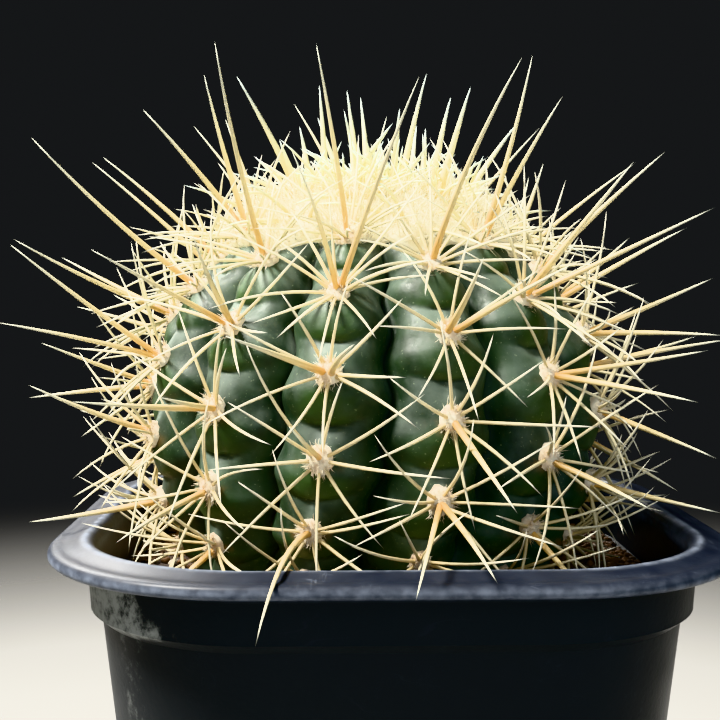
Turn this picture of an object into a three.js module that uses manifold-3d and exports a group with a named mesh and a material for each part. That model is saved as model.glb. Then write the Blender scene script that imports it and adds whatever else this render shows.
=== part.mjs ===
// Potted golden barrel cactus: a ribbed globe with spines, standing in soil in a square plastic pot.
// Millimetres, +Z up. The origin is the centre of the pot's underside. The front is towards -Y.
import * as THREE from "three";
import { mergeVertices } from "three/addons/utils/BufferGeometryUtils.js";
import Module from "manifold-3d";

const wasm = await Module();
wasm.setup();

// Pot
const RIM_WIDTH = 90; // across the lip, from flat to flat
const POT_HEIGHT = 80;
const WALL = 1.0;
const CORNER_STEPS = 7; // chords in each rounded corner
const COLLAR_HALF = 40.1; // half width of the collar under the rim
const COLLAR_DEPTH = 9.0; // from the rim's top to the stacking ledge
const LEDGE_HALF = 38.4; // half width of the wall just under the ledge
const LEDGE_DROP = 1.3;
const FOOT_HALF = 30.6; // half width of the wall at the bottom
const FOOT_CHAMFER = 0.8;
const FLOOR_THICKNESS = 1.4;
const LIP_CORNER = 27; // corner radius at the lip
const LIP_CORNER_SHARE = 0.8; // the corner tightens by this share of a step inwards
const WALL_CORNER = 23; // corner radius of the wall below the lip
const MOUTH_CORNER = 19; // corner radius of the clear space inside the rim
const FOOT_CORNER = 14; // corner radius at the bottom
const DRAIN_RADIUS = 3.2;
const DRAIN_RING = 19; // distance of the drain holes from the middle
const DRAIN_COUNT = 8;

// Soil
const SOIL_DEPTH = 10; // from the rim's top to the soil
const SOIL_BUMP = 0.7;
const SOIL_EDGE_DROP = 0.8; // the soil lies lower along the wall
const HOLE_ROUNDNESS = 0.9; // spreads the wall's corner points evenly round the root hole
const GAP = 0.35; // between neighbouring pieces

// Plant body
const PLANT_X = -2; // where the plant's axis stands in the pot
const PLANT_Y = 0;
const BODY_RADIUS = 33.2; // to the rib crests at the widest height
const BODY_WIDEST = 92.5; // height of the widest ring
const CROWN_RISE = 31; // from the widest ring to the crown
const CROWN_POWER = 2.3; // squareness of the upper outline
const BASE_FALL = 34; // lower half axis of the outline
const CROWN_DIP = 1.6;
const CROWN_DIP_RADIUS = 8;
const ROOT_DEPTH = 14; // root neck below the soil
const ROOT_RADIUS = 6;

// Ribs and tubercles
const RIBS = 13;
const FRONT_RIB = 16; // degrees from the front to the first rib, towards +X
const RIB_LEAN = 0.008; // degrees of twist for each square millimetre below LEAN_START
const LEAN_START = 38;
const FURROW_DEPTH = 6.2;
const FURROW_POWER = 1.45; // sharp furrows between rounded crests
const NOTCH_DEPTH = 2.2;
const NOTCH_AT = 0.42; // notch above each areole, as a share of their spacing
const SWELL_SKEW = 1.3; // above 1 the tubercle swells most below its areole
const SWELL_POWER = 0.45; // below 1 the notches are narrow
const AREOLE_PHASE = 0.25;
const PHASE_STEP = 7 / 13; // each rib's areoles start this share of a spacing lower
const AREOLE_ORDERS = 10.7; // areoles from crown to soil along a rib
const CROWN_ARC = 14.6; // wool covers the skin up to this far from the apex
const CROWN_FLAT_ARC = 13; // the skin is flat inside this ring
const RIB_START = 12; // ribs rise between these two distances from the apex
const RIB_FULL = 27;
const RIB_FADE = 8; // ribs fade out over this last stretch above the soil
const CREST_BAND = 0.12; // half width of the level crest, as a share of half a rib
const CREST_SHARE = 0.22; // the skin's corners beside the crest
const FLANK_SHARE = 0.6;
const CHIN_AT = 0.33; // chin below each areole, as a share of their spacing
const SHOULDER_AT = 0.21; // shoulder above it
const LAST_ROW = 0.9; // the lowest row of the ribs lies this many spacings above the soil line

// Areole cushions
const CUSHION = {
  sides: 5,
  width: 1.5,
  height: 1.8,
  foot: 1.15, // size of the sunk foot, against the cushion's width and height
  top: 0.62,
  rise: 0.9,
  sink: 0.7,
  spacing: 9, // areoles this far apart have full-size cushions
  smallest: 0.6,
};
const YOUNGEST_ARC = 1.5; // no areole closer to the apex than this

// Spines: lean is from the areole's outward direction, in degrees
const SPINE_SIDES = 3;
const SPINE_SINK = 1.2; // root length inside the cushion
const SPINE_FREE = 1.4; // a spine stands free of its neighbours from here on
const SPINE_CLEARANCE = 0.12;
const SPINE_TRIES = 60;
const SPINE_RISE = 0.8; // how far the last try is turned upwards
const RADIALS = 5;
const RADIAL = { radius: 0.28, lean: 68, spread: 8, rootLift: 0.1, rootOut: 0.2 };
const RADIAL_LENGTH = [8.5, 12.5];
const CENTRAL = { radius: 0.5, lean: 20, spread: 12, rootLift: 0.4, rootOut: 0.35 };
const CENTRAL_LENGTH = [13, 27]; // near the soil and near the crown
const CENTRAL_VARY = 0.15;
const CENTRAL_LONG_ARC = 22; // centrals shorten from here down to the soil
const PAIRED_SHARE = 0.62; // two centrals for each areole down to this share of the outline
const RISING_SHARE = 0.7; // single centrals lean upwards down to here, downwards below
const YOUNG_SPINE = { radius: 0.3, lean: 45, spread: 30, rootLift: 0, rootOut: 1.2, young: true };
const YOUNG_LENGTH = [6, 13];
const YOUNG_COUNT = 8; // for each areole in the wool
const UPRIGHT = { radius: 0.42, rootLift: 0, young: true };

// Long spines of the front: rib, areole counted down the rib, and how far the tip lies from the areole
const LONG_SPINES = [
  [10, 4, -20, -9, 19],
  [10, 5, -18, -9, 15],
  [10, 5, -20, -8, 5],
  [9, 4, -17, 1, 15],
  [10, 3, -14, -4, 17],
  [11, 4, -5, -15, 25],
  [8, 3, -7, 4, 19],
  [8, 3, -8, 2, 12],
  [3, 3, 5, 1, 13],
  [12, 3, -4, -13, 22],
  [12, 4, -5, -20, 15],
  [6, 3, 4, 8, 21],
  [0, 4, 8, -20, 22],
  [1, 3, 5, -9, 23],
  [1, 3, 9, -8, 18],
  [2, 4, 16, -5, 16],
  [2, 5, 18, -6, 0],
  [1, 5, 14, -16, -2],
  [2, 6, 15, -6, -6],
  [2, 7, 16, -7, -3],
  [0, 6, 5, -18, -8],
  [0, 7, -5, -17, -6],
  [12, 7, -6, -19, -1],
  [9, 6, -19, 1, -2],
  [10, 7, -17, -5, -2],
];

// Stout upright spines of the crown, in the same form
const CROWN_SPINES = [
  [10, 2, -9, -3, 17],
  [10, 2, -3, -5, 8],
  [8, 2, -2, 1, 12],
  [9, 2, -1, 0, 17],
  [9, 1, -2, 2, 17],
  [11, 1, -3, -3, 13],
  [11, 2, 7, -5, 10],
  [0, 2, 1, -3, 12],
  [1, 1, 4, -1, 18],
  [2, 2, 3, 1, 15],
  [1, 2, 4, -4, 15],
  [4, 2, 1, 3, 12],
  [3, 2, 9, 3, 13],
  [5, 2, 2, 9, 15],
  [6, 2, -1, 7, 18],
  [7, 2, -5, 6, 14],
];

// Clear space round the plant
const BODY_CLEARANCE = 0.99; // against 1 on the outline through the crests
const POT_CLEARANCE = 0.6;
const SOIL_CLEARANCE = 1.2;

// Crown felt
const WOOL_THICKNESS = 2.4;
const WOOL_EDGE = 1.2;
const WOOL_LOBE = 0.6;
const WOOL_INSET = 1.2; // no areole stands in the outermost felt
const WOOL_MARGIN = 1; // clear skin between the felt and the first cushions below it
const FELT_REACH = 3; // spines of the skin keep above the felt up to this far outside it
const WOOL_ROOT = 0.4; // depth of the young spines' places below the felt's top
const WOOL_RINGS = [
  // distance from the apex, height above the skin, reach of the lobes, unevenness
  [CROWN_ARC, GAP, WOOL_LOBE, 0],
  [CROWN_ARC + 0.3, WOOL_EDGE, WOOL_LOBE, 0.3],
  [12, WOOL_THICKNESS, 0.4, 0.7],
  [8, WOOL_THICKNESS, 0, 0.8],
  [4, WOOL_THICKNESS, 0, 0.6],
];

const SEED = 41;

// Seeded random numbers between 0 and 1, so that each build gives the same plant
function randomSource(seed) {
  let state = seed;
  return () => {
    state = (state + 0x6d2b79f5) | 0;
    let t = Math.imul(state ^ (state >>> 15), 1 | state);
    t = (t + Math.imul(t ^ (t >>> 7), 61 | t)) ^ t;
    return ((t ^ (t >>> 14)) >>> 0) / 2 ** 32;
  };
}

const radians = THREE.MathUtils.degToRad;
const smooth = THREE.MathUtils.smoothstep;
const lerp = THREE.MathUtils.lerp;

// Closed surface through rings with equal point counts, capped with a fan at each end
function loft(rings) {
  const count = rings[0].length;
  const points = rings.flat();
  const faces = [];
  for (let row = 0; row < rings.length - 1; row++) {
    for (let k = 0; k < count; k++) {
      const a = row * count + k;
      const b = row * count + ((k + 1) % count);
      faces.push(a, b, b + count, a, b + count, a + count);
    }
  }
  const last = (rings.length - 1) * count;
  const middle = (ring) => ring.reduce((sum, p) => sum.add(p), new THREE.Vector3()).divideScalar(count);
  const bottom = points.push(middle(rings[0])) - 1;
  const top = points.push(middle(rings[rings.length - 1])) - 1;
  for (let k = 0; k < count; k++) {
    const next = (k + 1) % count;
    faces.push(bottom, next, k, top, last + k, last + next);
  }
  const geometry = new THREE.BufferGeometry().setFromPoints(points);
  geometry.setIndex(faces);
  return geometry;
}

function toSolid(geometry) {
  const bare = geometry.clone();
  bare.deleteAttribute("normal");
  bare.deleteAttribute("uv");
  const merged = mergeVertices(bare);
  return new wasm.Manifold(
    new wasm.Mesh({
      numProp: 3,
      vertProperties: new Float32Array(merged.attributes.position.array),
      triVerts: new Uint32Array(merged.index.array),
    }),
  );
}

function toGeometry(solid) {
  const mesh = solid.getMesh();
  const geometry = new THREE.BufferGeometry();
  geometry.setAttribute("position", new THREE.BufferAttribute(new Float32Array(mesh.vertProperties), 3));
  geometry.setIndex(new THREE.BufferAttribute(new Uint32Array(mesh.triVerts), 1));
  return geometry;
}

// Square with rounded corners, centred on the pot's axis, counter-clockwise from above
function squareRing(half, corner, z) {
  const ring = [];
  const centre = half - corner;
  for (let quarter = 0; quarter < 4; quarter++) {
    const sx = quarter === 0 || quarter === 3 ? 1 : -1;
    const sy = quarter < 2 ? 1 : -1;
    for (let k = 0; k <= CORNER_STEPS; k++) {
      const angle = ((quarter + k / CORNER_STEPS) * Math.PI) / 2;
      const x = sx * centre + corner * Math.cos(angle);
      const y = sy * centre + corner * Math.sin(angle);
      ring.push(new THREE.Vector3(x, y, z));
    }
  }
  return ring;
}

// Corner radius of the pot's outer surface at a depth below the rim's top
function cornerAt(depth) {
  return lerp(WALL_CORNER, FOOT_CORNER, depth / POT_HEIGHT);
}

function wallHalfAt(depth) {
  const share = (depth - COLLAR_DEPTH - LEDGE_DROP) / (POT_HEIGHT - COLLAR_DEPTH - LEDGE_DROP);
  return lerp(LEDGE_HALF, FOOT_HALF, Math.max(0, share));
}

// Ring of the tapering wall at a depth below the rim, set in from its outer surface
function wallRing(depth, inset) {
  return squareRing(wallHalfAt(depth) - inset, cornerAt(depth) - inset, POT_HEIGHT - depth);
}

// Rings of the rim and collar, as half width and depth, from the collar's foot up, over and inside
function rimRings() {
  const lip = RIM_WIDTH / 2;
  const outline = [
    [COLLAR_HALF - 0.3, COLLAR_DEPTH],
    [COLLAR_HALF + 0.1, 2.5],
    [lip - 0.7, 2.6],
    [lip - 0.1, 2.15],
    [lip, 1.6],
    [lip - 0.25, 1.0],
    [lip - 0.9, 0.7],
    [lip - 2.2, 0.75],
    [lip - 3.7, 0.2],
    [lip - 4.6, 0],
    [lip - 5.4, 0.3],
    [COLLAR_HALF - WALL, 1.2],
    [COLLAR_HALF - WALL - 0.3, COLLAR_DEPTH],
  ];
  return outline.map(([half, depth]) => {
    const corner = LIP_CORNER - (lip - half) * LIP_CORNER_SHARE;
    return squareRing(half, corner, POT_HEIGHT - depth);
  });
}

function makePot() {
  const ledgeFoot = COLLAR_DEPTH + LEDGE_DROP;
  const rings = [
    squareRing(FOOT_HALF - FOOT_CHAMFER, FOOT_CORNER, 0),
    wallRing(POT_HEIGHT - FOOT_CHAMFER, 0),
    wallRing(ledgeFoot, 0),
    ...rimRings(),
    wallRing(ledgeFoot, WALL),
    wallRing(POT_HEIGHT - FLOOR_THICKNESS, WALL),
  ];
  let solid = toSolid(loft(rings));
  for (let k = 0; k < DRAIN_COUNT; k++) {
    const angle = ((k + 0.5) * 2 * Math.PI) / DRAIN_COUNT;
    const drill = new THREE.CylinderGeometry(DRAIN_RADIUS, DRAIN_RADIUS, FLOOR_THICKNESS * 3, 12);
    drill.rotateX(Math.PI / 2);
    drill.translate(DRAIN_RING * Math.cos(angle), DRAIN_RING * Math.sin(angle), FLOOR_THICKNESS / 2);
    solid = solid.subtract(toSolid(drill));
  }
  return toGeometry(solid);
}

// Outline of the plant through its rib crests, from the apex to the soil line, by arc length
const SOIL_TOP = POT_HEIGHT - SOIL_DEPTH;

function outlinePoint(angle) {
  const across = Math.abs(Math.sin(angle));
  const along = Math.cos(angle);
  if (angle < Math.PI / 2) {
    const r = BODY_RADIUS * across ** (2 / CROWN_POWER);
    const dip = CROWN_DIP * Math.exp(-((r / CROWN_DIP_RADIUS) ** 2));
    return [r, BODY_WIDEST + CROWN_RISE * along ** (2 / CROWN_POWER) - dip];
  }
  return [BODY_RADIUS * across, BODY_WIDEST + BASE_FALL * along];
}

const OUTLINE = (() => {
  const steps = 600;
  const lowest = Math.PI - Math.acos((BODY_WIDEST - SOIL_TOP) / BASE_FALL);
  const table = [];
  let arc = 0;
  for (let k = 0; k <= steps; k++) {
    const [r, z] = outlinePoint((lowest * k) / steps);
    if (k > 0) arc += Math.hypot(r - table[k - 1].r, z - table[k - 1].z);
    table.push({ arc, r, z });
  }
  return table;
})();
const BODY_ARC = OUTLINE[OUTLINE.length - 1].arc;

// Radius, height and outward normal of the crest outline at an arc length from the apex
function outlineAt(arc) {
  const s = THREE.MathUtils.clamp(arc, 0, BODY_ARC);
  let k = 1;
  while (k < OUTLINE.length - 1 && OUTLINE[k].arc < s) k++;
  const a = OUTLINE[k - 1];
  const b = OUTLINE[k];
  const share = (s - a.arc) / (b.arc - a.arc);
  const length = b.arc - a.arc;
  return {
    r: lerp(a.r, b.r, share),
    z: lerp(a.z, b.z, share),
    outR: (a.z - b.z) / length,
    outZ: (b.r - a.r) / length,
  };
}

// Arc length of a place given in areole spacings from the apex: wide in the middle, tight at both ends
function arcOfOrder(order) {
  return (BODY_ARC / 2) * (1 - Math.cos((Math.PI * Math.min(order, AREOLE_ORDERS)) / AREOLE_ORDERS));
}

function ribAngle(rib, arc) {
  const lean = RIB_LEAN * Math.max(0, arc - LEAN_START) ** 2;
  return radians(FRONT_RIB + (rib * 360) / RIBS - lean);
}

function ribPhase(rib) {
  const phase = AREOLE_PHASE + PHASE_STEP * rib;
  return phase - Math.floor(phase);
}

// How far a tubercle swells at a place between two notches: 0 in the notch, 1 on its chin
function swell(fromAreole) {
  const share = fromAreole + NOTCH_AT - Math.floor(fromAreole + NOTCH_AT);
  return Math.sin(Math.PI * share ** SWELL_SKEW) ** SWELL_POWER;
}

// Skin point: rib number with a share from -1 to 1 across it, and a place along it in areole spacings
function skinPoint(rib, across, order) {
  const arc = arcOfOrder(order);
  const line = outlineAt(arc);
  const grown = smooth(arc, RIB_START, RIB_FULL);
  const fade = 1 - smooth(arc, BODY_ARC - RIB_FADE, BODY_ARC);
  const side = Math.abs(across);
  const flank = Math.max(0, side - CREST_BAND) / (1 - CREST_BAND);
  const furrow = FURROW_DEPTH * flank ** FURROW_POWER;
  const notch = NOTCH_DEPTH * (1 - swell(order - ribPhase(rib))) * (1 - side);
  const depth = grown * fade * (furrow + notch);
  return bodyPoint(ribAngle(rib + across / 2, arc), line.r - depth * line.outR, line.z - depth * line.outZ);
}

// Point at an angle from the front towards +X, a distance from the plant's axis and a height
function bodyPoint(angle, r, z) {
  return new THREE.Vector3(PLANT_X + r * Math.sin(angle), PLANT_Y - r * Math.cos(angle), z);
}

// Places along a rib where its skin has a row of corners: each tubercle's shoulder, chin and notch
function rowsOfRib(rib) {
  const shares = [CHIN_AT, 1 - NOTCH_AT, 1 - SHOULDER_AT];
  const orders = [];
  for (let k = 0; k <= AREOLE_ORDERS; k++) {
    shares.forEach((share) => orders.push(k - 1 + ribPhase(rib) + share));
  }
  const first = orders.findIndex((order) => arcOfOrder(Math.max(0, order)) > CROWN_ARC);
  return orders.slice(first).filter((order) => order < AREOLE_ORDERS - LAST_ROW);
}

function bodyColumns() {
  const columns = [];
  for (let rib = 0; rib < RIBS; rib++) {
    const shares = [-FLANK_SHARE, -CREST_SHARE, CREST_SHARE, FLANK_SHARE, 1];
    shares.forEach((across) => columns.push({ rib, across }));
  }
  return columns;
}

// Row places for one column: its rib's own rows, drawn towards the next rib's rows near the furrow
function columnOrders(column, rowCount) {
  const own = rowsOfRib(column.rib);
  const next = rowsOfRib(column.rib + Math.sign(column.across));
  const mix = Math.abs(column.across) / 2;
  return Array.from({ length: rowCount }, (_, k) => lerp(own[k], next[k], mix));
}

function makeBodySolid() {
  const columns = bodyColumns();
  const rowCount = Math.min(...Array.from({ length: RIBS }, (_, rib) => rowsOfRib(rib).length));
  const places = columns.map((column) => columnOrders(column, rowCount));
  const rings = [];
  const circle = (r, z) => columns.map(({ rib, across }) => bodyPoint(ribAngle(rib + across / 2, 0), r, z));
  // Flat crown under the wool
  const crown = outlineAt(CROWN_FLAT_ARC);
  rings.push(circle(crown.r, crown.z));
  for (let row = 0; row < rowCount; row++) {
    rings.push(columns.map((column, k) => skinPoint(column.rib, column.across, places[k][row])));
  }
  // Soil line and root neck
  const neck = outlineAt(BODY_ARC);
  const lowAngle = (column) => ribAngle(column.rib + column.across / 2, BODY_ARC);
  const low = (r, z) => columns.map((column) => bodyPoint(lowAngle(column), r, z));
  rings.push(low(neck.r, neck.z));
  rings.push(low(ROOT_RADIUS, SOIL_TOP - ROOT_DEPTH));
  return toSolid(loft(rings.reverse()));
}

// Places of all areoles, from the crown down to just above the soil
function areolePlaces() {
  const places = [];
  for (let rib = 0; rib < RIBS; rib++) {
    for (let k = 0; k < AREOLE_ORDERS; k++) {
      const order = k + ribPhase(rib);
      const arc = arcOfOrder(order);
      const rooted = order < AREOLE_ORDERS && arc < BODY_ARC - RIB_FADE / 2;
      if (rooted) places.push({ rib, number: k, order, arc });
    }
  }
  return places.filter((place) => place.arc > YOUNGEST_ARC);
}

// Middle of the flat crest between two corners of its skin
function crestPoint(rib, order) {
  const middle = (at) => skinPoint(rib, CREST_SHARE, at).lerp(skinPoint(rib, -CREST_SHARE, at), 0.5);
  const share = SHOULDER_AT / (SHOULDER_AT + CHIN_AT);
  return middle(order - SHOULDER_AT).lerp(middle(order + CHIN_AT), share);
}

// Middle of an areole with its outward, uphill and sideways directions
function areoleFrame({ rib, order, arc }, lift = 0) {
  const line = outlineAt(arc);
  const angle = ribAngle(rib, arc);
  const radial = new THREE.Vector3(Math.sin(angle), -Math.cos(angle), 0);
  const out = radial.clone().multiplyScalar(line.outR).setZ(line.outZ);
  const up = radial.clone().multiplyScalar(-line.outZ).setZ(line.outR);
  const side = new THREE.Vector3().crossVectors(up, out);
  const place = lift > 0 ? bodyPoint(angle, line.r, line.z) : crestPoint(rib, order);
  return { place: place.addScaledVector(out, lift), out, up, side, order };
}

// Cushions are smaller where the areoles stand close together
function cushionScale({ order }) {
  const spacing = arcOfOrder(order + 0.5) - arcOfOrder(order - 0.5);
  return THREE.MathUtils.clamp(spacing / CUSHION.spacing, CUSHION.smallest, 1);
}

// Felt cushion: a low five-sided block with its foot sunk in the skin and one side facing uphill
function makeCushion(frame) {
  const { sides, width, height, foot, top, rise, sink } = CUSHION;
  const size = cushionScale(frame);
  const ring = (scale, level) =>
    Array.from({ length: sides }, (_, k) => {
      const angle = Math.PI / 2 + ((k + 0.5) * 2 * Math.PI) / sides;
      return frame.place
        .clone()
        .addScaledVector(frame.side, size * width * scale * Math.cos(angle))
        .addScaledVector(frame.up, size * height * scale * Math.sin(angle))
        .addScaledVector(frame.out, level);
    });
  return toSolid(loft([ring(foot, -sink), ring(top, rise)]));
}

// Spine direction: leaned from the areole's outward direction towards a turn from uphill
function spineDirection(frame, lean, turn) {
  return frame.out
    .clone()
    .multiplyScalar(Math.cos(lean))
    .addScaledVector(frame.up, Math.sin(lean) * Math.cos(turn))
    .addScaledVector(frame.side, Math.sin(lean) * Math.sin(turn))
    .normalize();
}

// Three-sided spine, pointed at the tip, with its root below the place it grows from
function makeSpine({ root, direction, length, radius, twist }) {
  const across = new THREE.Vector3(0, 0, 1).cross(direction).normalize();
  const points = Array.from({ length: SPINE_SIDES }, (_, k) => {
    const angle = twist + (k * 2 * Math.PI) / SPINE_SIDES;
    const spoke = across.clone().applyAxisAngle(direction, angle);
    return root.clone().addScaledVector(direction, -SPINE_SINK).addScaledVector(spoke, radius);
  });
  points.push(root.clone().addScaledVector(direction, length));
  const geometry = new THREE.BufferGeometry().setFromPoints(points);
  geometry.setIndex([0, 2, 1, 0, 1, 3, 1, 2, 3, 2, 0, 3]);
  return toSolid(geometry);
}

// Signed distance of a point to a rounded square round the pot's axis, negative inside
function squareDistance(point, half, corner) {
  const x = Math.abs(point.x) - half + corner;
  const y = Math.abs(point.y) - half + corner;
  return Math.hypot(Math.max(x, 0), Math.max(y, 0)) + Math.min(Math.max(x, y), 0) - corner;
}

// Whether a point stays clear of the pot and the soil
function clearOfPot(point) {
  if (point.z > POT_HEIGHT + POT_CLEARANCE) return true;
  if (squareDistance(point, RIM_WIDTH / 2, LIP_CORNER) > POT_CLEARANCE) return true;
  const inner = LEDGE_HALF - WALL;
  const inMouth = squareDistance(point, inner, MOUTH_CORNER) < -POT_CLEARANCE;
  return inMouth && point.z > SOIL_TOP + SOIL_CLEARANCE;
}

// Whether a point stays outside the plant's outline, and outside its felt where it has some
function clearOfBody(point, spine) {
  const r = Math.hypot(point.x - PLANT_X, point.y - PLANT_Y);
  if (point.z > BODY_WIDEST) {
    const felt = r < CROWN_ARC + FELT_REACH && !spine.young ? WOOL_THICKNESS + WOOL_MARGIN : 0;
    const across = (r / (BODY_RADIUS + felt)) ** CROWN_POWER;
    const rise = (point.z - BODY_WIDEST) / (CROWN_RISE + felt);
    return across + rise ** CROWN_POWER > BODY_CLEARANCE;
  }
  return (r / BODY_RADIUS) ** 2 + ((point.z - BODY_WIDEST) / BASE_FALL) ** 2 > BODY_CLEARANCE;
}

function pointAt(spine, distance) {
  return spine.root.clone().addScaledVector(spine.direction, distance);
}

// Shortest distance between the free lengths of two spines
function spineGap(a, b) {
  const p = pointAt(a, SPINE_FREE);
  const q = pointAt(b, SPINE_FREE);
  const u = a.direction;
  const v = b.direction;
  const between = q.clone().sub(p);
  const uv = u.dot(v);
  const du = u.dot(between);
  const dv = v.dot(between);
  const slant = Math.max(1 - uv * uv, 1e-6);
  const reachA = a.length - SPINE_FREE;
  const reachB = b.length - SPINE_FREE;
  let s = THREE.MathUtils.clamp((du - uv * dv) / slant, 0, reachA);
  const t = THREE.MathUtils.clamp(uv * s - dv, 0, reachB);
  s = THREE.MathUtils.clamp(uv * t + du, 0, reachA);
  return p.addScaledVector(u, s).distanceTo(q.addScaledVector(v, t));
}

function spineFits(spine, grown) {
  for (let distance = SPINE_FREE; distance <= spine.length; distance += 1) {
    const point = pointAt(spine, distance);
    if (!clearOfPot(point) || !clearOfBody(point, spine)) return false;
  }
  const tip = pointAt(spine, spine.length);
  if (!clearOfPot(tip)) return false;
  return grown.every((other) => spineGap(spine, other) > spine.radius + other.radius + SPINE_CLEARANCE);
}

// Tries seeded directions, rising a little with each try, until the spine stands clear of everything
function growSpine(frame, kind, turn, length, grown, random) {
  const { radius, young } = kind;
  for (let attempt = 0; attempt < SPINE_TRIES; attempt++) {
    const lean = radians(kind.lean + kind.spread * (random() - 0.5) * 2);
    const swing = turn + radians(kind.spread) * (random() - 0.5) * 2;
    const direction = spineDirection(frame, lean, swing);
    direction.z += (attempt / SPINE_TRIES) * SPINE_RISE;
    direction.normalize();
    const aside = spineDirection(frame, Math.PI / 2, swing).multiplyScalar(kind.rootOut);
    const root = frame.place.clone().addScaledVector(frame.out, kind.rootLift).add(aside);
    const spine = { root, direction, length, radius, young, twist: random() * Math.PI };
    if (spineFits(spine, grown)) {
      grown.push(spine);
      return;
    }
  }
}

// Frame of an areole in the felt, a little below its top
function feltFrame(place) {
  return areoleFrame(place, WOOL_THICKNESS + GAP - WOOL_ROOT);
}

// Spines given one by one in a table
function growListedSpines(list, places, frameOf, kind, grown) {
  list.forEach(([rib, number, ...reach]) => {
    const frame = frameOf(places.find((each) => each.rib === rib && each.number === number));
    const offset = new THREE.Vector3(...reach);
    const root = frame.place.clone().addScaledVector(frame.out, kind.rootLift);
    const direction = offset.clone().normalize();
    const { radius, young } = kind;
    grown.push({ root, direction, length: offset.length(), radius, young, twist: 0 });
  });
}

// Young spines of the crown, spread all round each areole in the wool
function growYoungSpines(places, grown, random) {
  places.forEach((place) => {
    const frame = feltFrame(place);
    for (let k = 0; k < YOUNG_COUNT; k++) {
      const turn = ((k + random()) * 2 * Math.PI) / YOUNG_COUNT;
      growSpine(frame, YOUNG_SPINE, turn, lerp(...YOUNG_LENGTH, random()), grown, random);
    }
  });
}

// Long centrals near the crown, shorter ones towards the soil
function centralLength(arc, random) {
  const share = 1 - smooth(arc, CENTRAL_LONG_ARC, BODY_ARC);
  return lerp(...CENTRAL_LENGTH, share) * (1 + CENTRAL_VARY * (2 * random() - 1));
}

// Centrals of each areole: a pair left and right high up, a single one further down
function growCentrals(places, grown, random) {
  places.forEach((place) => {
    const long = LONG_SPINES.filter(([rib, number]) => rib === place.rib && number === place.number).length;
    const share = place.arc / BODY_ARC;
    const turns = share < PAIRED_SHARE ? [-90, 90] : [share < RISING_SHARE ? 0 : 180];
    turns.slice(long).forEach((turn) => {
      growSpine(areoleFrame(place), CENTRAL, radians(turn), centralLength(place.arc, random), grown, random);
    });
  });
}

function growRadials(places, grown, random) {
  places.forEach((place) => {
    const frame = areoleFrame(place);
    for (let k = 0; k < RADIALS; k++) {
      const turn = (k * 2 * Math.PI) / RADIALS;
      growSpine(frame, RADIAL, turn, lerp(...RADIAL_LENGTH, random()), grown, random);
    }
  });
}

// Crown felt: a lobed cap over the smooth top of the plant, thin at its edge
function makeWoolSolid(random) {
  const count = 4 * RIBS;
  const ring = (arc, lift, lobe, bump) =>
    Array.from({ length: count }, (_, k) => {
      const angle = ribAngle((k * RIBS) / count, 0);
      const line = outlineAt(arc + lobe * Math.cos((k / count) * RIBS * 2 * Math.PI));
      const level = lift + bump * (random() - 0.5);
      return bodyPoint(angle, line.r + level * line.outR, line.z + level * line.outZ);
    });
  const crown = outlineAt(CROWN_FLAT_ARC);
  const flat = ring(CROWN_FLAT_ARC, GAP, 0, 0).map((point) => point.setZ(crown.z + GAP));
  return toSolid(loft([flat, ...WOOL_RINGS.map((values) => ring(...values))]));
}

// Potting soil: fills the pot's inside up to its level, with a plain hole for the root neck
function makeSoil(random) {
  const neck = outlineAt(BODY_ARC).r;
  const edge = wallRing(SOIL_DEPTH + SOIL_EDGE_DROP, WALL + GAP);
  const nearlyRound = squareRing(1, HOLE_ROUNDNESS, 0);
  const hole = (r, z) =>
    nearlyRound.map((corner) => {
      const angle = Math.atan2(corner.y, corner.x);
      return new THREE.Vector3(PLANT_X + r * Math.cos(angle), PLANT_Y + r * Math.sin(angle), z);
    });
  const mouth = hole(neck + GAP, SOIL_TOP);
  const between = edge.map((point, k) => {
    const spot = point.clone().lerp(mouth[k], 0.5);
    return spot.setZ(SOIL_TOP + SOIL_BUMP * (random() - 0.5));
  });
  return loft([
    wallRing(POT_HEIGHT - FLOOR_THICKNESS - GAP, WALL + GAP),
    edge,
    between,
    mouth,
    hole(ROOT_RADIUS + GAP, SOIL_TOP - ROOT_DEPTH - GAP),
  ]);
}

// The plant: its skin, its cushions and its spines joined in one solid
function makeCactus(places, grown) {
  const cushions = places.map((place) => makeCushion(areoleFrame(place)));
  const spines = grown.map(makeSpine);
  return toGeometry(wasm.Manifold.union([makeBodySolid(), ...cushions, ...spines]));
}

function makeCrown(wool, grown) {
  return toGeometry(wasm.Manifold.union([wool, ...grown.map(makeSpine)]));
}

const random = randomSource(SEED);
const places = areolePlaces();
const firstCushion = CROWN_ARC + WOOL_LOBE + CUSHION.height + WOOL_MARGIN;
const onSkin = places.filter((place) => place.arc > firstCushion);
const inWool = places.filter((place) => place.arc < CROWN_ARC - WOOL_INSET);
const grownSpines = [];
growListedSpines(LONG_SPINES, onSkin, (place) => areoleFrame(place), CENTRAL, grownSpines);
growListedSpines(CROWN_SPINES, inWool, feltFrame, UPRIGHT, grownSpines);
growYoungSpines(inWool, grownSpines, random);
growCentrals(onSkin, grownSpines, random);
growRadials(onSkin, grownSpines, random);
const youngSpines = grownSpines.filter((spine) => spine.young);
const skinSpines = grownSpines.filter((spine) => !spine.young);

const finishes = {
  pot: new THREE.MeshStandardMaterial({ color: 0x24272c, roughness: 0.5, metalness: 0 }),
  soil: new THREE.MeshStandardMaterial({ color: 0x1d1712, roughness: 0.95, metalness: 0 }),
  skin: new THREE.MeshStandardMaterial({ color: 0x2f5230, roughness: 0.55, metalness: 0 }),
  wool: new THREE.MeshStandardMaterial({ color: 0xe8d9b4, roughness: 0.9, metalness: 0 }),
};

const group = new THREE.Group();

function addPiece(name, geometry, finish) {
  geometry.computeVertexNormals();
  const mesh = new THREE.Mesh(geometry, finish);
  mesh.name = name;
  group.add(mesh);
}

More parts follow.
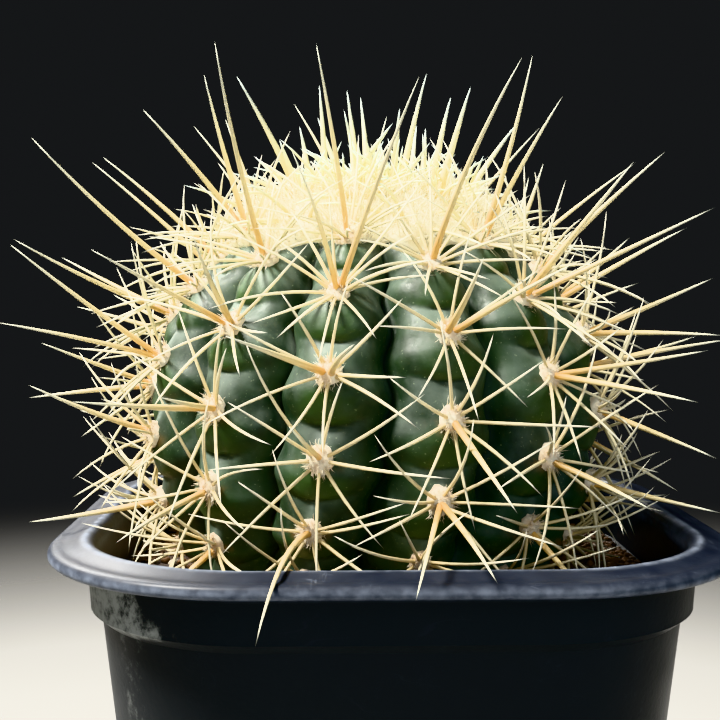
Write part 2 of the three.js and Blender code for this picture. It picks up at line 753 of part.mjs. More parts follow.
addPiece("pot", makePot(), finishes.pot);
addPiece("soil", makeSoil(random), finishes.soil);
addPiece("cactus", makeCactus(onSkin, skinSpines), finishes.skin);
addPiece("crown_wool", makeCrown(makeWoolSolid(random), youngSpines), finishes.wool);

export default group;
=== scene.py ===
"""Potted golden barrel cactus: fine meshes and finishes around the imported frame.

The plant is a ribbed globe with felt cushions and long straw-coloured spines. It grows in soil in a
square tapered plastic nursery pot. Sizes in the classes are in millimetres, and each mesh is scaled to
metres as it is made. +Z is up, and the front of the object faces -Y.
"""
from __future__ import annotations

import logging
import math
from dataclasses import dataclass, field
from enum import Enum
from typing import Callable, Iterable, Sequence

import bpy
import numpy as np
from mathutils import Matrix, Vector

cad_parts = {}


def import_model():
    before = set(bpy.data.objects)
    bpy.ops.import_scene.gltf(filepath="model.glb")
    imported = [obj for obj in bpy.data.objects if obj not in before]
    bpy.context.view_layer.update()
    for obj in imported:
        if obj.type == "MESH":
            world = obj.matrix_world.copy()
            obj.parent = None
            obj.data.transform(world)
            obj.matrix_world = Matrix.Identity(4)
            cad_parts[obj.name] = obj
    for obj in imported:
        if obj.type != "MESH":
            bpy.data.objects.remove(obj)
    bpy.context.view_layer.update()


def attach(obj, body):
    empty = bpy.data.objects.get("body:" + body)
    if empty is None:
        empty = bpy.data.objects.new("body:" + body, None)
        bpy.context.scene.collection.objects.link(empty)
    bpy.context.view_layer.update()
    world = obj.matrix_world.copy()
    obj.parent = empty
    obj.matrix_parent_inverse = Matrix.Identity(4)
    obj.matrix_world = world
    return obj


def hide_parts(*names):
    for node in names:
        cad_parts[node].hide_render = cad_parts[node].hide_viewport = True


LOG = logging.getLogger("potted_cactus")
MM = 0.001
ROOT_BODY = "root"

Array = np.ndarray
Colour = tuple[float, float, float, float]
Draws = np.random.Generator
Material = bpy.types.Material
Node = bpy.types.Node
Number = np.ndarray | float
Pair = tuple[float, float]
Piece = bpy.types.Object
Socket = bpy.types.NodeSocket
Triple = tuple[float, float, float]


def srgb(red: int, green: int, blue: int) -> Colour:
    """Turns a display colour into the linear colour that a shader takes.

    Args:
        red: Red from 0 to 255.
        green: Green from 0 to 255.
        blue: Blue from 0 to 255.

    Returns:
        The linear colour with full alpha.
    """
    parts = [channel / 255 for channel in (red, green, blue)]
    linear = [part / 12.92 if part <= 0.04045 else ((part + 0.055) / 1.055) ** 2.4 for part in parts]
    return (linear[0], linear[1], linear[2], 1.0)


def unit(vector: Array) -> Array:
    """Scales vectors along the last axis to length one."""
    return vector / np.maximum(np.linalg.norm(vector, axis=-1, keepdims=True), 1e-9)


def lerp(low: Number, high: Number, share: Number) -> Number:
    """Goes from low to high as share goes from 0 to 1."""
    return low + (high - low) * share


def smooth(value: Number, low: float, high: float) -> Number:
    """Rises smoothly from 0 at low to 1 at high."""
    share = np.clip((np.asarray(value, float) - low) / (high - low), 0, 1)
    return share * share * (3 - 2 * share)


def bell(offset: Number, width: float) -> Number:
    """Falls from 1 at no offset towards 0, on both sides of it, as a bell curve does."""
    return np.exp(-((offset / width) ** 2))


class SeededDraws:
    """The plant's own seeded draws, which place each long spine where the solid model has it."""

    MASK = 0xFFFFFFFF

    def __init__(self, seed: int) -> None:
        """Starts the draws from a seed."""
        self.state = seed

    def draw(self) -> float:
        """Draws the next number.

        Returns:
            A number from 0 to 1.
        """
        self.state = (self.state + 0x6D2B79F5) & self.MASK
        mixed = ((self.state ^ (self.state >> 15)) * (1 | self.state)) & self.MASK
        again = ((mixed ^ (mixed >> 7)) * (61 | mixed)) & self.MASK
        mixed = ((mixed + again) & self.MASK) ^ mixed
        return (mixed ^ (mixed >> 14)) / 2**32


# Meshes


@dataclass
class Surface:
    """A mesh in the making: points in millimetres, faces, and a value for each point by name."""

    points: Array
    faces: list[Sequence[int]]
    values: dict[str, Array] = field(default_factory=dict)


def bands(rows: int, count: int, start: int = 0, downwards: bool = False) -> list[Sequence[int]]:
    """Lists the faces between closed rings of points that follow each other.

    Args:
        rows: How many bands there are, one fewer than the rings.
        count: Points in each ring.
        start: Number of the first ring's first point.
        downwards: Whether the rings run from the top down, seen from outside.

    Returns:
        The faces, band by band.
    """
    faces: list[Sequence[int]] = []
    for row in range(rows):
        low = start + row * count
        for k in range(count):
            a, b = low + k, low + (k + 1) % count
            faces.append((a, a + count, b + count, b) if downwards else (a, b, b + count, a + count))
    return faces


def joined(surfaces: Iterable[Surface]) -> Surface:
    """Joins surfaces that carry the same values into one.

    Args:
        surfaces: The surfaces, in order.

    Returns:
        One surface that holds all their faces.
    """
    parts = list(surfaces)
    faces: list[Sequence[int]] = []
    start = 0
    for part in parts:
        faces.extend([tuple(int(corner) + start for corner in face) for face in part.faces])
        start += len(part.points)
    names = parts[0].values
    values = {name: np.concatenate([part.values[name] for part in parts]) for name in names}
    return Surface(np.concatenate([part.points for part in parts]), faces, values)


def mesh_of(name: str, surface: Surface) -> bpy.types.Mesh:
    """Makes a mesh in metres from a surface.

    Args:
        name: The mesh's name.
        surface: Its points and faces.

    Returns:
        The mesh, without the surface's values.
    """
    mesh = bpy.data.meshes.new(name)
    mesh.from_pydata((surface.points * MM).tolist(), [], surface.faces)
    return mesh


def write_values(mesh: bpy.types.Mesh, values: dict[str, Array]) -> None:
    """Writes a value for each point onto a mesh, for the finish to read.

    Args:
        mesh: The mesh.
        values: The numbers of each value, by name.
    """
    for name, numbers in values.items():
        attribute = mesh.attributes.new(name, "FLOAT", "POINT")
        attribute.data.foreach_set("value", np.asarray(numbers, np.float32))


def placed(name: str, content: bpy.types.ID) -> Piece:
    """Puts a new object into the scene.

    Args:
        name: The object's name.
        content: Its mesh, lamp or lens.

    Returns:
        The object.
    """
    made = bpy.data.objects.new(name, content)
    bpy.context.scene.collection.objects.link(made)
    return made


def make_piece(
    name: str, surface: Surface, material: Material, node: str
) -> Piece:
    """Makes a Blender object from a surface, and ties it to the frame.

    Args:
        name: The piece's name.
        surface: Its mesh, in millimetres.
        material: Its finish.
        node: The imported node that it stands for.

    Returns:
        The new object, riding on the object's one body.
    """
    mesh = mesh_of(name, surface)
    mesh.validate()
    mesh.polygons.foreach_set("use_smooth", [True] * len(mesh.polygons))
    write_values(mesh, surface.values)
    mesh.materials.append(material)
    piece = placed(name, mesh)
    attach(piece, ROOT_BODY)
    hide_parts(node)
    LOG.info("%s: %d points, %d faces", name, len(mesh.vertices), len(mesh.polygons))
    return piece


def strands(centres: Array, radii: Array, sides: int, values: dict[str, Array]) -> Surface:
    """Builds closed round strands that end in a point.

    Args:
        centres: Centre points, as strand by ring by coordinate. The last ring is the tip.
        radii: Radius at each ring but the last.
        sides: Sides of each strand.
        values: For each name, a value for every ring of every strand.

    Returns:
        All strands as one surface.
    """
    count, rings = centres.shape[:2]
    along = unit(centres[:, -1] - centres[:, 0])
    helper = np.where(np.abs(along[:, 2:3]) > 0.8, np.array([[1.0, 0, 0]]), np.array([[0, 0, 1.0]]))
    across = unit(np.cross(helper, along))
    second = np.cross(along, across)
    angles = np.arange(sides) * 2 * np.pi / sides
    spokes = np.cos(angles)[None, :, None] * across[:, None] + np.sin(angles)[None, :, None] * second[:, None]
    body = centres[:, :-1, None] + radii[:, :, None, None] * spokes[:, None]
    each = (rings - 1) * sides + 1
    points = np.concatenate([body.reshape(count, -1, 3), centres[:, -1:]], axis=1).reshape(-1, 3)
    one = [tuple(range(sides - 1, -1, -1)), *bands(rings - 2, sides)]
    last = (rings - 2) * sides
    one.extend((last + k, last + (k + 1) % sides, each - 1) for k in range(sides))
    faces = [tuple(corner + strand * each for corner in face) for strand in range(count) for face in one]
    spread = {
        name: np.concatenate([np.repeat(rows[:, :-1], sides, axis=1), rows[:, -1:]], axis=1).reshape(-1)
        for name, rows in values.items()
    }
    return Surface(points, faces, spread)


# Plant form


@dataclass
class Frame:
    """An areole's middle with its outward, uphill and sideways directions."""

    place: Array
    out: Array
    up: Array
    side: Array


@dataclass(frozen=True)
class Areole:
    """An areole's rib, its number down the rib, and its place along the rib."""

    rib: int
    number: int
    order: float
    arc: float


@dataclass
class PlantForm:
    """The plant's shape as formulas: its outline, its ribs and tubercles, and where its areoles stand."""

    soil_top: float = 70.0
    axis_x: float = -2.0
    axis_y: float = 0.0
    radius: float = 33.2
    widest: float = 92.5
    crown_rise: float = 31.0
    crown_power: float = 2.3
    base_fall: float = 34.0
    crown_dip: float = 1.6
    crown_dip_radius: float = 8.0
    ribs: int = 13
    front_rib: float = 16.0
    rib_lean: float = 0.008
    lean_start: float = 38.0
    furrow_depth: float = 6.2
    furrow_power: float = 1.45
    notch_depth: float = 2.2
    notch_at: float = 0.42
    swell_skew: float = 1.3
    swell_power: float = 0.45
    areole_phase: float = 0.25
    orders: float = 10.7
    crown_arc: float = 14.6
    crown_flat_arc: float = 13.0
    rib_start: float = 12.0
    rib_full: float = 27.0
    rib_fade: float = 8.0
    crest_band: float = 0.12
    crest_share: float = 0.22
    chin_at: float = 0.33
    shoulder_at: float = 0.21
    cushion_spacing: float = 9.0
    cushion_smallest: float = 0.6
    youngest_arc: float = 1.5

    def __post_init__(self) -> None:
        """Works out the outline's table of arc length, radius and height."""
        lowest = math.pi - math.acos((self.widest - self.soil_top) / self.base_fall)
        angles = lowest * np.arange(601) / 600
        across = np.abs(np.sin(angles))
        along = np.cos(angles)
        upper = angles < np.pi / 2
        top_r = self.radius * across ** (2 / self.crown_power)
        dip = self.crown_dip * bell(top_r, self.crown_dip_radius)
        top_z = self.widest + self.crown_rise * np.maximum(along, 0) ** (2 / self.crown_power) - dip
        self.line_r = np.where(upper, top_r, self.radius * across)
        self.line_z = np.where(upper, top_z, self.widest + self.base_fall * along)
        steps = np.hypot(np.diff(self.line_r), np.diff(self.line_z))
        self.line_arc = np.concatenate([[0], np.cumsum(steps)])
        self.length = float(self.line_arc[-1])

    def outline(self, arc: Array) -> tuple[Array, Array, Array, Array]:
        """Reads the outline through the rib crests.

        Args:
            arc: Distances from the apex along the outline.

        Returns:
            Radius, height, and the outward normal's radial and upward shares.
        """
        s = np.clip(np.asarray(arc, float), 0, self.length)
        k = np.clip(np.searchsorted(self.line_arc, s, side="left"), 1, len(self.line_arc) - 1)
        low, high = self.line_arc[k - 1], self.line_arc[k]
        share = (s - low) / (high - low)
        r = self.line_r[k - 1] + (self.line_r[k] - self.line_r[k - 1]) * share
        z = self.line_z[k - 1] + (self.line_z[k] - self.line_z[k - 1]) * share
        out_r = (self.line_z[k - 1] - self.line_z[k]) / (high - low)
        out_z = (self.line_r[k] - self.line_r[k - 1]) / (high - low)
        return r, z, out_r, out_z

    def arc_of(self, order: Array) -> Array:
        """Turns a place in areole spacings into an arc length from the apex."""
        turn = np.pi * np.minimum(order, self.orders) / self.orders
        return self.length / 2 * (1 - np.cos(turn))

    def rib_angle(self, rib: Array, arc: Array) -> Array:
        """Angle of a rib at an arc length, from the front towards +X."""
        lean = self.rib_lean * np.maximum(0, arc - self.lean_start) ** 2
        return np.radians(self.front_rib + rib * 360 / self.ribs - lean)

    def phase(self, rib: Array) -> Array:
        """Share of a spacing by which a rib's areoles lie below the first row."""
        return (self.areole_phase + 7 / 13 * rib) % 1

    def tubercle_share(self, rib: Array, order: Array) -> Array:
        """Place along a tubercle: 0 at the crease above its areole, 1 at the crease below its chin."""
        return (order - self.phase(rib) + self.notch_at) % 1

    def swell(self, share: Array) -> Array:
        """How far a tubercle stands out, from 0 in the crease to 1."""
        return np.sin(np.pi * share**self.swell_skew) ** self.swell_power

    def at(self, angle: Array, r: Array, z: Array) -> Array:
        """Point at an angle from the front, a distance from the plant's axis and a height."""
        x, y = self.axis_x + r * np.sin(angle), self.axis_y - r * np.cos(angle)
        return np.stack(np.broadcast_arrays(x, y, z), axis=-1)

    def skin(self, rib: Array, across: Array, order: Array) -> Array:
        """Skin points of the solid model.

        Args:
            rib: Rib numbers.
            across: Shares from -1 to 1 across the rib.
            order: Places along the rib in areole spacings.

        Returns:
            The points.
        """
        arc = self.arc_of(order)
        r, z, out_r, out_z = self.outline(arc)
        side = np.abs(across)
        flank = np.maximum(0, side - self.crest_band) / (1 - self.crest_band)
        furrow = self.furrow_depth * flank**self.furrow_power
        notch = self.notch_depth * (1 - self.swell(self.tubercle_share(rib, order))) * (1 - side)
        grown = smooth(arc, self.rib_start, self.rib_full)
        fade = 1 - smooth(arc, self.length - self.rib_fade, self.length)
        depth = grown * fade * (furrow + notch)
        angle = self.rib_angle(rib + across / 2, arc)
        return self.at(angle, r - depth * out_r, z - depth * out_z)

    def areoles(self) -> list[Areole]:
        """Lists all areoles from the crown down to just above the soil.

        Returns:
            The areoles, rib by rib.
        """
        found = []
        for rib in range(self.ribs):
            for number in range(math.ceil(self.orders)):
                order = number + float(self.phase(rib))
                arc = float(self.arc_of(order))
                rooted = order < self.orders and arc < self.length - self.rib_fade / 2
                if rooted and arc > self.youngest_arc:
                    found.append(Areole(rib, number, order, arc))
        return found

    def crest_point(self, areole: Areole) -> Array:
        """Finds the middle of the solid model's level crest at an areole.

        Args:
            areole: The areole.

        Returns:
            The point.
        """
        ends = []
        for order in (areole.order - self.shoulder_at, areole.order + self.chin_at):
            sides = self.skin(np.full(2, areole.rib), np.array([1, -1]) * self.crest_share, np.full(2, order))
            ends.append(sides.mean(axis=0))
        return lerp(*ends, self.shoulder_at / (self.shoulder_at + self.chin_at))

    def areole_frame(self, areole: Areole, lift: float = 0.0) -> Frame:
        """Finds an areole's middle and directions.

        Args:
            areole: The areole.
            lift: Height above the outline for an areole in the crown felt, or 0 for one on the skin.

        Returns:
            Its frame.
        """
        r, z, out_r, out_z = (float(number) for number in self.outline(areole.arc))
        angle = float(self.rib_angle(areole.rib, areole.arc))
        radial = np.array([math.sin(angle), -math.cos(angle), 0])
        out = radial * out_r + np.array([0, 0, out_z])
        up = -radial * out_z + np.array([0, 0, out_r])
        place = self.at(angle, r, z) if lift > 0 else self.crest_point(areole)
        return Frame(place + out * lift, out, up, np.cross(up, out))

    def cushion_scale(self, areole: Areole) -> float:
        """Size of an areole's cushion, smaller where areoles stand close together."""
        spacing = float(self.arc_of(areole.order + 0.5) - self.arc_of(areole.order - 0.5))
        return min(1.0, max(self.cushion_smallest, spacing / self.cushion_spacing))


# Spines


class SpineKind(Enum):
    """The kinds of spine that the plant has."""

    RADIAL = "radial"
    CENTRAL = "central"
    UPRIGHT = "upright"
    YOUNG = "young"
    TUFT = "tuft"


@dataclass(frozen=True)
class SpineHabit:
    """How one kind of spine grows: its radius, its lean from outwards with its spread, and its root.

    Angles are in degrees. A kind that crosses the others freely isn't kept apart from them.
    """

    kind: SpineKind
    radius: float
    lean: float = 0.0
    spread: float = 0.0
    root_lift: float = 0.0
    root_out: float = 0.0
    crosses: bool = False


@dataclass
class Spine:
    """One spine: straight from root to tip, with a bow added later."""

    root: Array
    direction: Array
    length: float
    radius: float
    kind: SpineKind
    out: Array
    age: float
    arch: float = 0.0

    @property
    def tip(self) -> Array:
        """The spine's tip."""
        return self.root + self.direction * self.length


@dataclass
class SpineGrower:
    """Grows all spines clear of each other, the pot, the soil and the skin."""

    form: PlantForm
    pot: Pot
    central: SpineHabit = SpineHabit(SpineKind.CENTRAL, 0.5, lean=20, spread=12, root_lift=0.4, root_out=0.35)
    upright: SpineHabit = SpineHabit(SpineKind.UPRIGHT, 0.42)
    young: SpineHabit = SpineHabit(SpineKind.YOUNG, 0.3, lean=45, spread=30, root_out=1.2)
    radial: SpineHabit = SpineHabit(SpineKind.RADIAL, 0.24, lean=66, spread=11, root_lift=0.35, root_out=0.6)
    tuft: SpineHabit = SpineHabit(
        SpineKind.TUFT, 0.27, lean=68, spread=24, root_lift=0.2, root_out=1.3, crosses=True
    )
    central_length: Pair = (13.0, 27.0)
    central_vary: float = 0.15
    central_long_arc: float = 22.0
    paired_share: float = 0.62
    rising_share: float = 0.7
    young_length: Pair = (6.0, 13.0)
    young_count: int = 8
    radial_length: Pair = (11.0, 17.5)
    radial_count: int = 9
    radial_stray: float = 0.3
    upper_arc: float = 33.0
    upper_extra: int = 4
    tuft_length: Pair = (5.5, 11.5)
    tuft_count: int = 12
    margin_length: Pair = (9.0, 15.0)
    margin_count: int = 8
    free: float = 1.4
    clearance: float = 0.12
    same_root: float = 1.0
    tries: int = 60
    rise: float = 0.8
    body_clearance: float = 0.99
    pot_clearance: float = 0.6
    soil_clearance: float = 1.2
    wool_thickness: float = 2.4
    wool_margin: float = 1.0
    felt_reach: float = 3.0
    wool_root: float = 0.4
    wool_inset: float = 1.2
    wool_lobe: float = 0.6
    cushion_height: float = 1.8
    gap: float = 0.35
    mouth_corner: float = 19.0
    seed: int = 41

    # Long spines of the front: rib, areole down the rib, and the tip's place from the areole
    LONG_SPINES = (
        (10, 4, -20, -9, 19), (10, 5, -18, -9, 15), (10, 5, -20, -8, 5), (9, 4, -17, 1, 15),
        (10, 3, -14, -4, 17), (11, 4, -5, -15, 25), (8, 3, -7, 4, 19), (8, 3, -8, 2, 12),
        (3, 3, 5, 1, 13), (12, 3, -4, -13, 22), (12, 4, -5, -20, 15), (6, 3, 4, 8, 21),
        (0, 4, 8, -20, 22), (1, 3, 5, -9, 23), (1, 3, 9, -8, 18), (2, 4, 16, -5, 16),
        (2, 5, 18, -6, 0), (1, 5, 14, -16, -2), (2, 6, 15, -6, -6), (2, 7, 16, -7, -3),
        (0, 6, 5, -18, -8), (0, 7, -5, -17, -6), (12, 7, -6, -19, -1), (9, 6, -19, 1, -2),
        (10, 7, -17, -5, -2),
    )

    # Stout uprights of the crown: rib, areole in the felt, and the tip's place from the areole
    CROWN_SPINES = (
        (10, 2, -9, -3, 17), (10, 2, -3, -5, 8), (8, 2, -2, 1, 12), (9, 2, -1, 0, 17),
        (9, 1, -2, 2, 17), (11, 1, -3, -3, 13), (11, 2, 7, -5, 10), (0, 2, 1, -3, 12),
        (1, 1, 4, -1, 18), (2, 2, 3, 1, 15), (1, 2, 4, -4, 15), (4, 2, 1, 3, 12),
        (3, 2, 9, 3, 13), (5, 2, 2, 9, 15), (6, 2, -1, 7, 18), (7, 2, -5, 6, 14),
    )

    # Lowest spines of the front, which reach over the rim: as the long spines, and how far they arch up
    RIM_SPINES = (
        (12, 7, -5.4, -22.4, -7.3, 2.6),
        (0, 7, -4.6, -21.0, -6.5, 0.6),
        (0, 7, 4.4, -18.0, -5.5, 0.4),
    )

    def __post_init__(self) -> None:
        """Lists the areoles on the skin, in the crown felt and along its margin."""
        self.draws = SeededDraws(self.seed)
        self.extra = SeededDraws(self.seed + 1)
        self.spines: list[Spine] = []
        form = self.form
        everywhere = form.areoles()
        first = form.crown_arc + self.wool_lobe + self.cushion_height + self.wool_margin
        self.on_skin = [areole for areole in everywhere if areole.arc > first]
        self.skin_frames = {(areole.rib, areole.number): form.areole_frame(areole) for areole in self.on_skin}
        last = form.crown_arc - self.wool_inset
        self.in_wool = [areole for areole in everywhere if areole.arc < last]
        self.in_margin = [areole for areole in everywhere if last <= areole.arc <= first]

    def direction(self, frame: Frame, lean: float, turn: float) -> Array:
        """Direction leaned from outwards towards a turn from uphill, in radians."""
        sideways = frame.up * math.cos(turn) + frame.side * math.sin(turn)
        return unit(frame.out * math.cos(lean) + sideways * math.sin(lean))

    def square_distance(self, points: Array, half: float, corner: float) -> Array:
        """Signed distance to a rounded square round the pot's axis, negative inside."""
        x, y = np.abs(points[:, :2]).T - half + corner
        return np.hypot(np.maximum(x, 0), np.maximum(y, 0)) + np.minimum(np.maximum(x, y), 0) - corner

    def clear_of_pot(self, points: Array) -> bool:
        """Tests whether points keep clear of the pot and the soil.

        Args:
            points: The points.

        Returns:
            True where all are clear.
        """
        pot = self.pot
        above = points[:, 2] > pot.height + self.pot_clearance
        beside = self.square_distance(points, pot.lip_half, pot.lip_corner) > self.pot_clearance
        mouth = self.square_distance(points, pot.ledge_half - pot.wall, self.mouth_corner)
        in_mouth = mouth < -self.pot_clearance
        over_soil = in_mouth & (points[:, 2] > self.form.soil_top + self.soil_clearance)
        return bool(np.all(above | beside | over_soil))

    def clear_of_body(self, points: Array, in_felt: bool) -> bool:
        """Tests whether points keep outside the plant's outline and its felt.

        Args:
            points: The points.
            in_felt: Whether they may lie in the crown felt.

        Returns:
            True where all are clear.
        """
        form = self.form
        r = np.hypot(points[:, 0] - form.axis_x, points[:, 1] - form.axis_y)
        z = points[:, 2] - form.widest
        near_crown = r < form.crown_arc + self.felt_reach
        felt = np.where(near_crown & (not in_felt), self.wool_thickness + self.wool_margin, 0)
        rise = np.maximum(z, 0) / (form.crown_rise + felt)
        upper = (r / (form.radius + felt)) ** form.crown_power + rise**form.crown_power
        lower = (r / form.radius) ** 2 + (z / form.base_fall) ** 2
        return bool(np.all(np.where(z > 0, upper, lower) > self.body_clearance))

    def gaps(self, spine: Spine) -> Array:
        """Measures how close a spine's free length comes to those of all grown spines.

        Args:
            spine: The spine.

        Returns:
            One distance for each grown spine.
        """
        p = spine.root + spine.direction * self.free
        q = np.array([other.root + other.direction * self.free for other in self.spines])
        v = np.array([other.direction for other in self.spines])
        reach = np.array([other.length for other in self.spines]) - self.free
        between = q - p
        uv = v @ spine.direction
        du = between @ spine.direction
        dv = np.einsum("ij,ij->i", v, between)
        slant = np.maximum(1 - uv * uv, 1e-6)
        s = np.clip((du - uv * dv) / slant, 0, spine.length - self.free)
        t = np.clip(uv * s - dv, 0, reach)
        s = np.clip(uv * t + du, 0, spine.length - self.free)
        nearest = p + spine.direction * s[:, None] - q - v * t[:, None]
        return np.linalg.norm(nearest, axis=1)

    def fits(self, spine: Spine, crosses: bool) -> bool:
        """Tests whether a spine stands clear of the pot, the soil, the skin and the other spines.

        Args:
            spine: The spine.
            crosses: Whether it may cross other spines.

        Returns:
            True where it fits.
        """
        steps = np.arange(self.free, spine.length + 1e-9, 1.0)
        points = spine.root + spine.direction * steps[:, None]
        in_felt = spine.kind not in (SpineKind.RADIAL, SpineKind.CENTRAL)
        tip = spine.tip[None, :]
        if not self.clear_of_pot(points) or not self.clear_of_body(points, in_felt):
            return False
        if not self.clear_of_pot(tip):
            return False
        if crosses or not self.spines:
            return True
        radii = np.array([other.radius for other in self.spines])
        return bool(np.all(self.gaps(spine) > spine.radius + radii + self.clearance))

    def grow(self, frame: Frame, habit: SpineHabit, turn: float, length: float, draws: SeededDraws) -> None:
        """Tries seeded directions, rising a little each time, until the spine stands clear.

        Args:
            frame: The areole's frame.
            habit: The kind of spine.
            turn: Its turn from uphill, in radians.
            length: Its length.
            draws: The draws to use.
        """
        for attempt in range(self.tries):
            lean = math.radians(habit.lean + habit.spread * (draws.draw() - 0.5) * 2)
            swing = turn + math.radians(habit.spread) * (draws.draw() - 0.5) * 2
            direction = self.direction(frame, lean, swing)
            direction = unit(direction + np.array([0, 0, attempt / self.tries * self.rise]))
            aside = self.direction(frame, math.pi / 2, swing) * habit.root_out
            root = frame.place + frame.out * habit.root_lift + aside
            draws.draw()
            age = self.age_at(frame.place)
            spine = Spine(root, direction, length, habit.radius, habit.kind, frame.out, age)
            if self.fits(spine, habit.crosses):
                self.spines.append(spine)
                return

    def age_at(self, place: Array) -> float:
        """Age of an areole from its height: 0 in the crown, 1 at the soil."""
        top = self.form.widest + self.form.crown_rise
        return float(np.clip((top - place[2]) / (top - self.form.soil_top), 0, 1))

    def lay(self, frame: Frame, habit: SpineHabit, reach: Sequence[float], arch: float = 0.0) -> None:
        """Lays one spine from its areole to a given tip.

        Args:
            frame: The areole's frame.
            habit: The kind of spine.
            reach: The tip's place from the areole.
            arch: How far its middle arches up.
        """
        offset = np.array(reach, float)
        root = frame.place + frame.out * habit.root_lift
        length = float(np.linalg.norm(offset))
        kind, radius, age = habit.kind, habit.radius, self.age_at(frame.place)
        self.spines.append(Spine(root, offset / length, length, radius, kind, frame.out, age, arch))

    def grow_long_spines(self) -> None:
        """Grows the long spines of the front and the stout uprights of the crown."""
        felt = {(areole.rib, areole.number): self.wool_frame(areole) for areole in self.in_wool}
        for rib, number, *reach in self.LONG_SPINES:
            self.lay(self.skin_frames[(rib, number)], self.central, reach)
        for rib, number, *reach in self.CROWN_SPINES:
            self.lay(felt[(rib, number)], self.upright, reach)

    def replaceable(self, spine: Spine, root: Array) -> bool:
        """Tests whether a spine is a straight central of the areole with this root."""
        straight = spine.kind is SpineKind.CENTRAL and spine.arch == 0
        return straight and bool(np.linalg.norm(spine.root - root) <= self.same_root)

    def grow_rim_spines(self) -> None:
        """Lays the lowest spines of the front over the rim, in place of the straight ones."""
        for rib, number, *reach, arch in self.RIM_SPINES:
            frame = self.skin_frames[(rib, number)]
            root = frame.place + frame.out * self.central.root_lift
            self.spines = [spine for spine in self.spines if not self.replaceable(spine, root)]
            self.lay(frame, self.central, reach, arch)

    def wool_frame(self, areole: Areole) -> Frame:
        """Frame of an areole in the crown felt, just under the felt's top."""
        return self.form.areole_frame(areole, self.wool_thickness + self.gap - self.wool_root)

    def grow_young_spines(self) -> None:
        """Grows the young spines of the crown."""
        for areole in self.in_wool:
            frame = self.wool_frame(areole)
            for k in range(self.young_count):
                turn = (k + self.draws.draw()) * 2 * math.pi / self.young_count
                length = lerp(*self.young_length, self.draws.draw())
                self.grow(frame, self.young, turn, length, self.draws)

    def grow_centrals(self) -> None:
        """Grows the centrals: a pair for each areole high up, a single one further down."""
        for areole in self.on_skin:
            own = (areole.rib, areole.number)
            long = sum(1 for rib, number, *_ in self.LONG_SPINES if (rib, number) == own)
            share = areole.arc / self.form.length
            single = 0 if share < self.rising_share else 180
            turns = [-90, 90] if share < self.paired_share else [single]
            for turn in turns[long:]:
                reach = 1 - float(smooth(areole.arc, self.central_long_arc, self.form.length))
                vary = 1 + self.central_vary * (2 * self.draws.draw() - 1)
                length = lerp(*self.central_length, reach) * vary
                self.grow(self.skin_frames[own], self.central, math.radians(turn), length, self.draws)

    def grow_radials(self) -> None:
        """Grows the star of thin spines round each areole on the skin."""
        for areole in self.on_skin:
            frame = self.form.areole_frame(areole)
            start = self.extra.draw()
            count = self.radial_count + (self.upper_extra if areole.arc < self.upper_arc else 0)
            for k in range(count):
                turn = (k + start + self.radial_stray * (self.extra.draw() - 0.5)) * 2 * math.pi / count
                length = lerp(*self.radial_length, self.extra.draw())
                self.grow(frame, self.radial, turn, length, self.extra)

    def grow_tuft(self) -> None:
        """Grows the dense fine spines that cross each other in the crown and along its margin."""
        for areole in self.in_wool + self.in_margin:
            inner = areole in self.in_wool
            frame = self.wool_frame(areole) if inner else self.form.areole_frame(areole)
            count = self.tuft_count if inner else self.margin_count
            lengths = self.tuft_length if inner else self.margin_length
            for k in range(count):
                turn = (k + self.extra.draw()) * 2 * math.pi / count
                length = lerp(*lengths, self.extra.draw())
                self.grow(frame, self.tuft, turn, length, self.extra)

    def grow_all(self) -> None:
        """Grows every spine, the ones of the solid model first."""
        self.grow_long_spines()
        self.grow_young_spines()
        self.grow_centrals()
        self.grow_rim_spines()
        self.grow_radials()
        self.grow_tuft()


# Shader nodes


